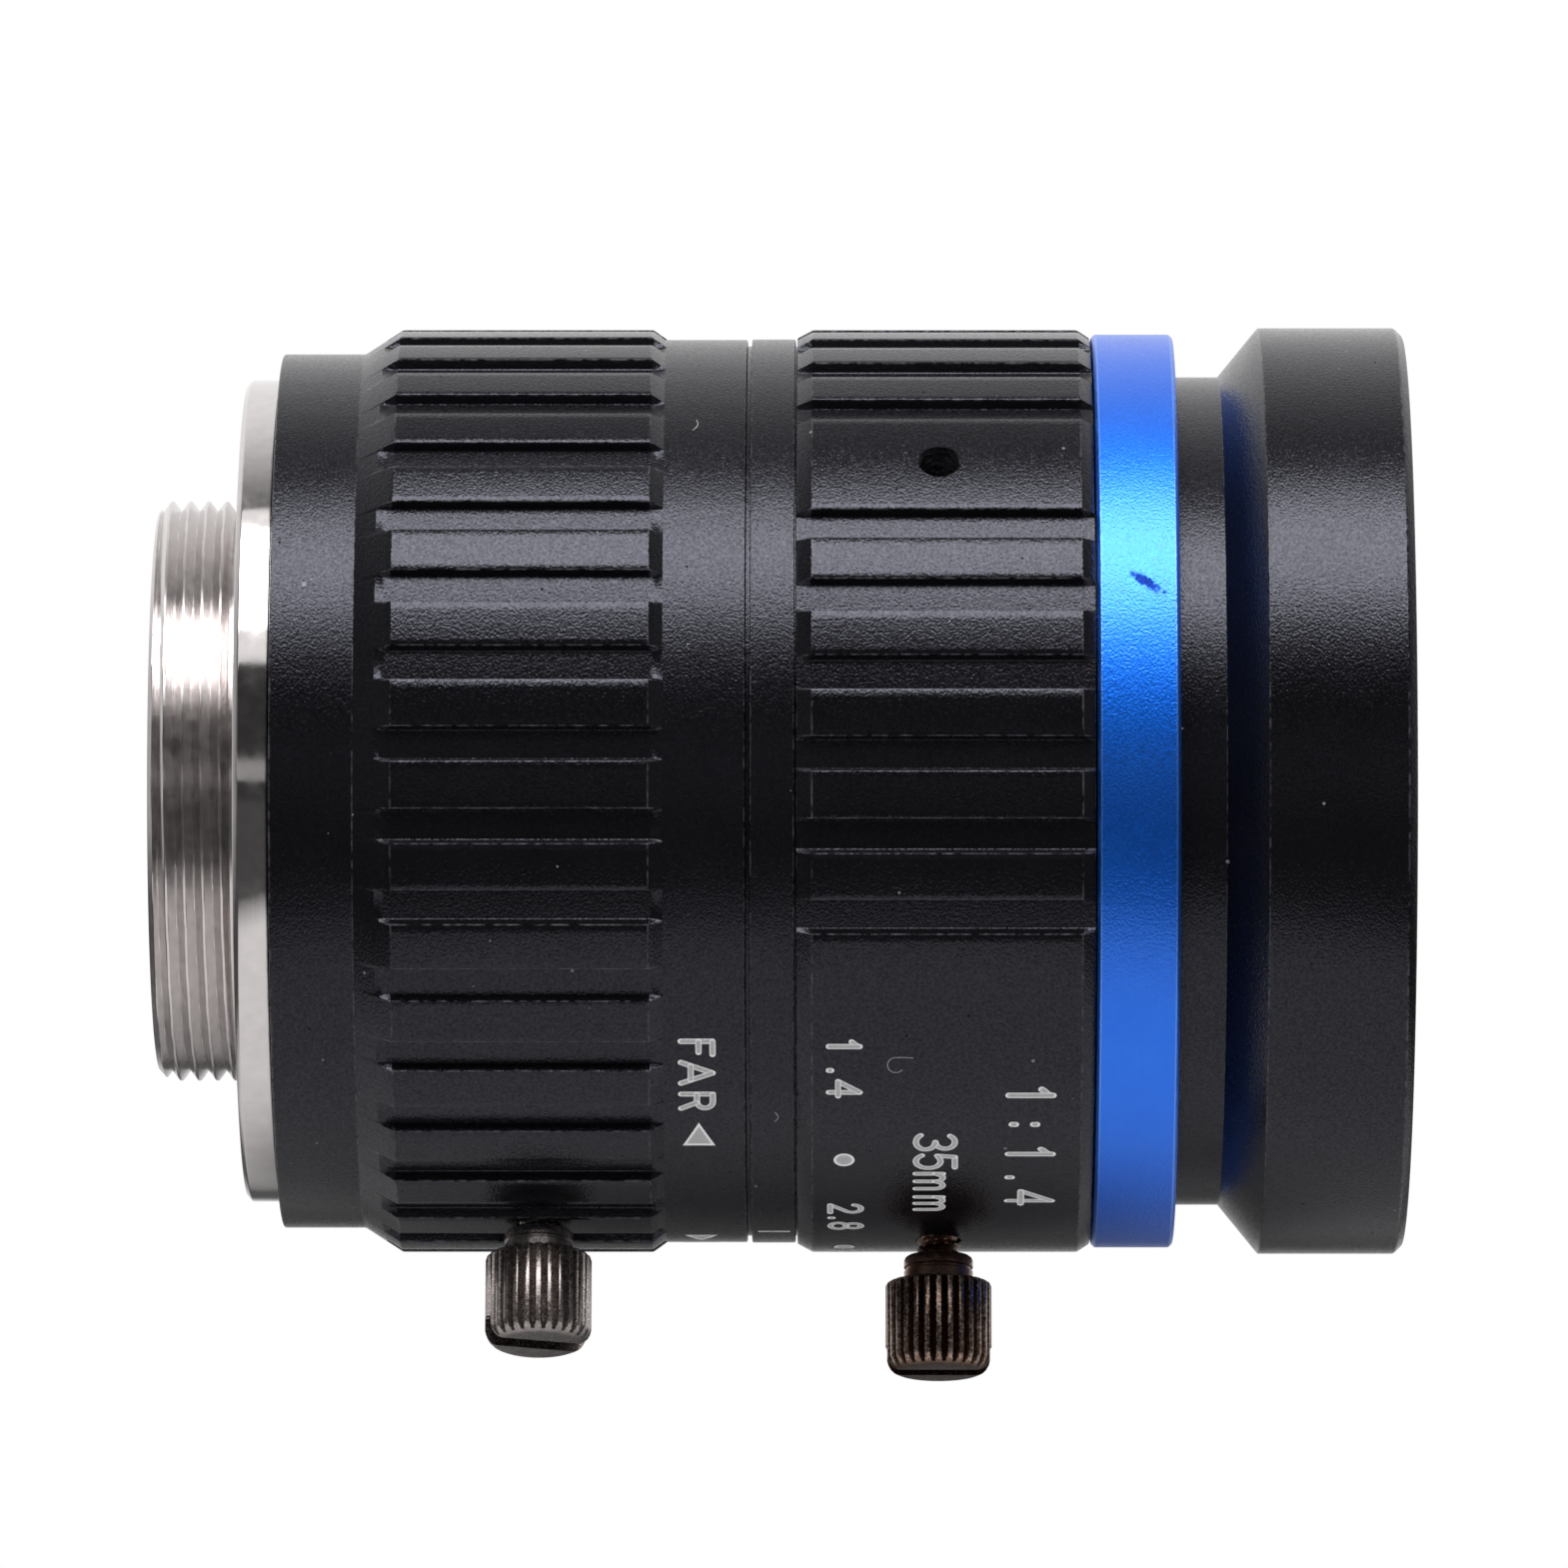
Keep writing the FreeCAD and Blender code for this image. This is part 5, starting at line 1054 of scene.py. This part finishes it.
def dress():
    """Gives every piece and every carried-over node the material of its slot."""
    finishes = {
        "plated_mount": chromed_brass(),
        "black_anodised": black_anodised_aluminium(),
        "inner_black": matt_black_aluminium(),
        "blue_anodised": blue_anodised_aluminium(),
        "black_nickel": black_nickel_brass(),
        "bare_brass": machined_brass(),
        "nylon_pad": natural_nylon(),
        "blade_steel": blued_spring_steel(),
        "coated_glass": coated_optical_glass(),
    }
    mark, lint = laser_burnt_mark(), settled_lint()
    slots = {item["node"]: item["material_slot"] for item in frame["record"]["subparts"]}
    for node, item in frame["nodes"].items():
        paint(item, finishes[slots[node]])
    for piece, slot_name in NEW_PIECES:
        if piece.name.endswith(("_mark", "_marks")):
            paint(piece, mark)
        elif piece.name.endswith("_fibre"):
            paint(piece, lint)
        else:
            paint(piece, finishes[slot_name])


def paint(item, finish):
    """Puts one material on the whole of an object."""
    item.data.materials.clear()
    item.data.materials.append(finish)


# ---------------------------------------------------------------- floor, light and camera

def studio_floor():
    """A pale round table under the lens, which fades into the white background round it.

    Point (i, j) is (middle + r_i cos a_j, r_i sin a_j, level). Metal and glass see the white
    room in place of the table where it lies far out or behind the lens.
    """
    columns = 96
    radii = np.array([0.5, 60.0, 120.0, 200.0, 320.0])
    angle = np.radians(even_turns(columns))
    points = np.stack(np.broadcast_arrays(
        LENS_MIDDLE + radii[:, None] * np.cos(angle), radii[:, None] * np.sin(angle), FLOOR_LEVEL),
        axis=-1).reshape(-1, 3)
    faces = grid_faces(len(radii), columns, closed=False)[:, ::-1].tolist()
    faces.append(list(range(columns)))
    mesh = mesh_from("studio_floor", points, faces)
    floor = place_in_scene("studio_floor", mesh)
    made, tree, place = new_material("white_table")
    apart = add(tree, "VectorMath", {
        0: place, 1: (LENS_MIDDLE, 0.0, FLOOR_LEVEL)}, operation="DISTANCE")
    outside = add(tree, "MapRange", {
        "Value": apart, "From Min": 90.0, "From Max": 175.0}, interpolation_type="SMOOTHSTEP")
    paths = add(tree, "LightPath")
    seen = add(tree, "Math", {
        0: paths.outputs["Is Camera Ray"], 1: paths.outputs["Is Transmission Ray"]},
        operation="ADD", use_clamp=True)
    fade = add(tree, "Math", {0: outside, 1: seen}, operation="MULTIPLY")
    table = add(tree, "BsdfDiffuse", {"Color": "#d8d8d8"})
    white = add(tree, "Emission", {"Color": (1.0, 1.0, 1.0, 1.0), "Strength": 1.0})
    shown = add(tree, "MixShader", {0: fade, 1: table, 2: white})
    far = add(tree, "MapRange", {"Value": apart, "From Min": 70.0, "From Max": 95.0})
    parts = add(tree, "SeparateXYZ", {0: place})
    behind = add(tree, "MapRange", {
        "Value": parts.outputs["Y"], "From Min": 25.0, "From Max": 50.0})
    missed = add(tree, "Math", {0: far, 1: behind}, operation="MAXIMUM")
    gone = add(tree, "Math", {0: missed, 1: paths.outputs["Is Glossy Ray"]}, operation="MULTIPLY")
    clear = add(tree, "BsdfTransparent")
    surface = add(tree, "MixShader", {0: gone, 1: shown, 2: clear})
    add(tree, "OutputMaterial", {"Surface": surface})
    mesh.materials.append(made)


def studio_world():
    """White all round for the eye, and a photographer's room for metal and glass.

    They see white behind and over the lens, a dim room in front and at the sides, a pale wall
    low down in front, and a faint floor below it. Plain surfaces get an even, weak light.
    """
    world = bpy.data.worlds.new("studio_world")
    world.use_nodes = True
    tree = world.node_tree
    tree.nodes.clear()
    direction = add(tree, "TexCoord")
    parts = add(tree, "SeparateXYZ", {0: direction.outputs["Generated"]})
    aside = add(tree, "Math", {0: parts.outputs["X"]}, operation="ABSOLUTE")
    room = add(tree, "MapRange", {
        "Value": aside, "From Min": 0.3, "From Max": 0.8, "To Min": WORLD_DIM,
        "To Max": WORLD_SIDE}, interpolation_type="SMOOTHSTEP")
    behind = add(tree, "MapRange", {
        "Value": parts.outputs["Y"], "From Min": -0.3, "From Max": 0.75, "To Min": room,
        "To Max": 1.0}, interpolation_type="SMOOTHSTEP")
    above = add(tree, "MapRange", {
        "Value": parts.outputs["Z"], "From Min": -0.3, "From Max": -0.05, "To Min": 0.1,
        "To Max": 1.0})
    shell = add(tree, "Math", {0: behind, 1: above}, operation="MULTIPLY")
    height = add(tree, "Math", {0: parts.outputs["Z"], 1: 0.1, 2: 0.05}, operation="COMPARE")
    front = add(tree, "Math", {0: parts.outputs["Y"], 1: -0.5}, operation="LESS_THAN")
    wall = add(tree, "Math", {0: height, 1: front}, operation="MULTIPLY")
    low = add(tree, "MapRange", {
        "Value": parts.outputs["Z"], "From Min": -0.06, "From Max": 0.0, "To Min": WORLD_LOW,
        "To Max": 0.0})
    room_light = add(tree, "Math", {0: wall, 1: WORLD_WALL, 2: low}, operation="MULTIPLY_ADD")
    around_lens = add(tree, "Math", {0: shell, 1: room_light}, operation="MAXIMUM")
    paths = add(tree, "LightPath")
    mirrored = add(tree, "Math", {
        0: paths.outputs["Is Glossy Ray"], 1: paths.outputs["Is Transmission Ray"]},
        operation="ADD", use_clamp=True)
    dim = add(tree, "Mix", {0: mirrored, 2: WORLD_FILL, 3: around_lens}, data_type="FLOAT")
    level = add(tree, "Mix", {
        0: paths.outputs["Is Camera Ray"], 2: dim, 3: 1.0}, data_type="FLOAT")
    background = add(tree, "Background", {"Color": (1.0, 1.0, 1.0, 1.0), "Strength": level})
    add(tree, "OutputWorld", {"Surface": background})
    bpy.context.scene.world = world


def softbox(name, elevation, azimuth, distance, width, height, radiance):
    """A rectangular lamp that faces the lens's middle; its power follows from its radiance."""
    e, a = math.radians(elevation), math.radians(azimuth)
    away = Vector((math.sin(a) * math.cos(e), -math.cos(a) * math.cos(e), math.sin(e)))
    data = bpy.data.lights.new(name, "AREA")
    data.shape, data.size, data.size_y = "RECTANGLE", width, height
    data.energy = radiance * math.pi * width * height
    lamp = place_in_scene(name, data)
    lamp.location = LAMP_AIM + away * distance
    lamp.rotation_euler = away.to_track_quat("Z", "Y").to_euler()


def photo_camera():
    """The photograph's view: square on to the axis, 636 mm away, no shift."""
    data = bpy.data.cameras.new("photo_camera")
    data.sensor_width, data.lens = 36.0, 333.0
    data.clip_start, data.clip_end = 0.01, 20.0
    camera = place_in_scene("photo_camera", data)
    camera.location = CAMERA_PLACE
    camera.rotation_euler = (CAMERA_PLACE - CAMERA_AIM).to_track_quat("Z", "Y").to_euler()
    bpy.context.scene.camera = camera


mount_thread()
focus_grip()
iris_grip()
plain_rings()
front_hood()
for screw in SCREW_STATIONS:
    lock_screw(screw)
for glass in GLASSES:
    polished_glass(glass)
laser_marks()
dust_fibres()
dress()
studio_floor()
studio_world()
softbox("key_softbox", 60.0, 0.0, 0.55, 0.7, 0.5, 1.0)
softbox("key_softbox_core", 61.5, 0.0, 0.54, 0.6, 0.3, 6.2)
photo_camera()
bpy.context.scene.view_settings.view_transform = "Standard"
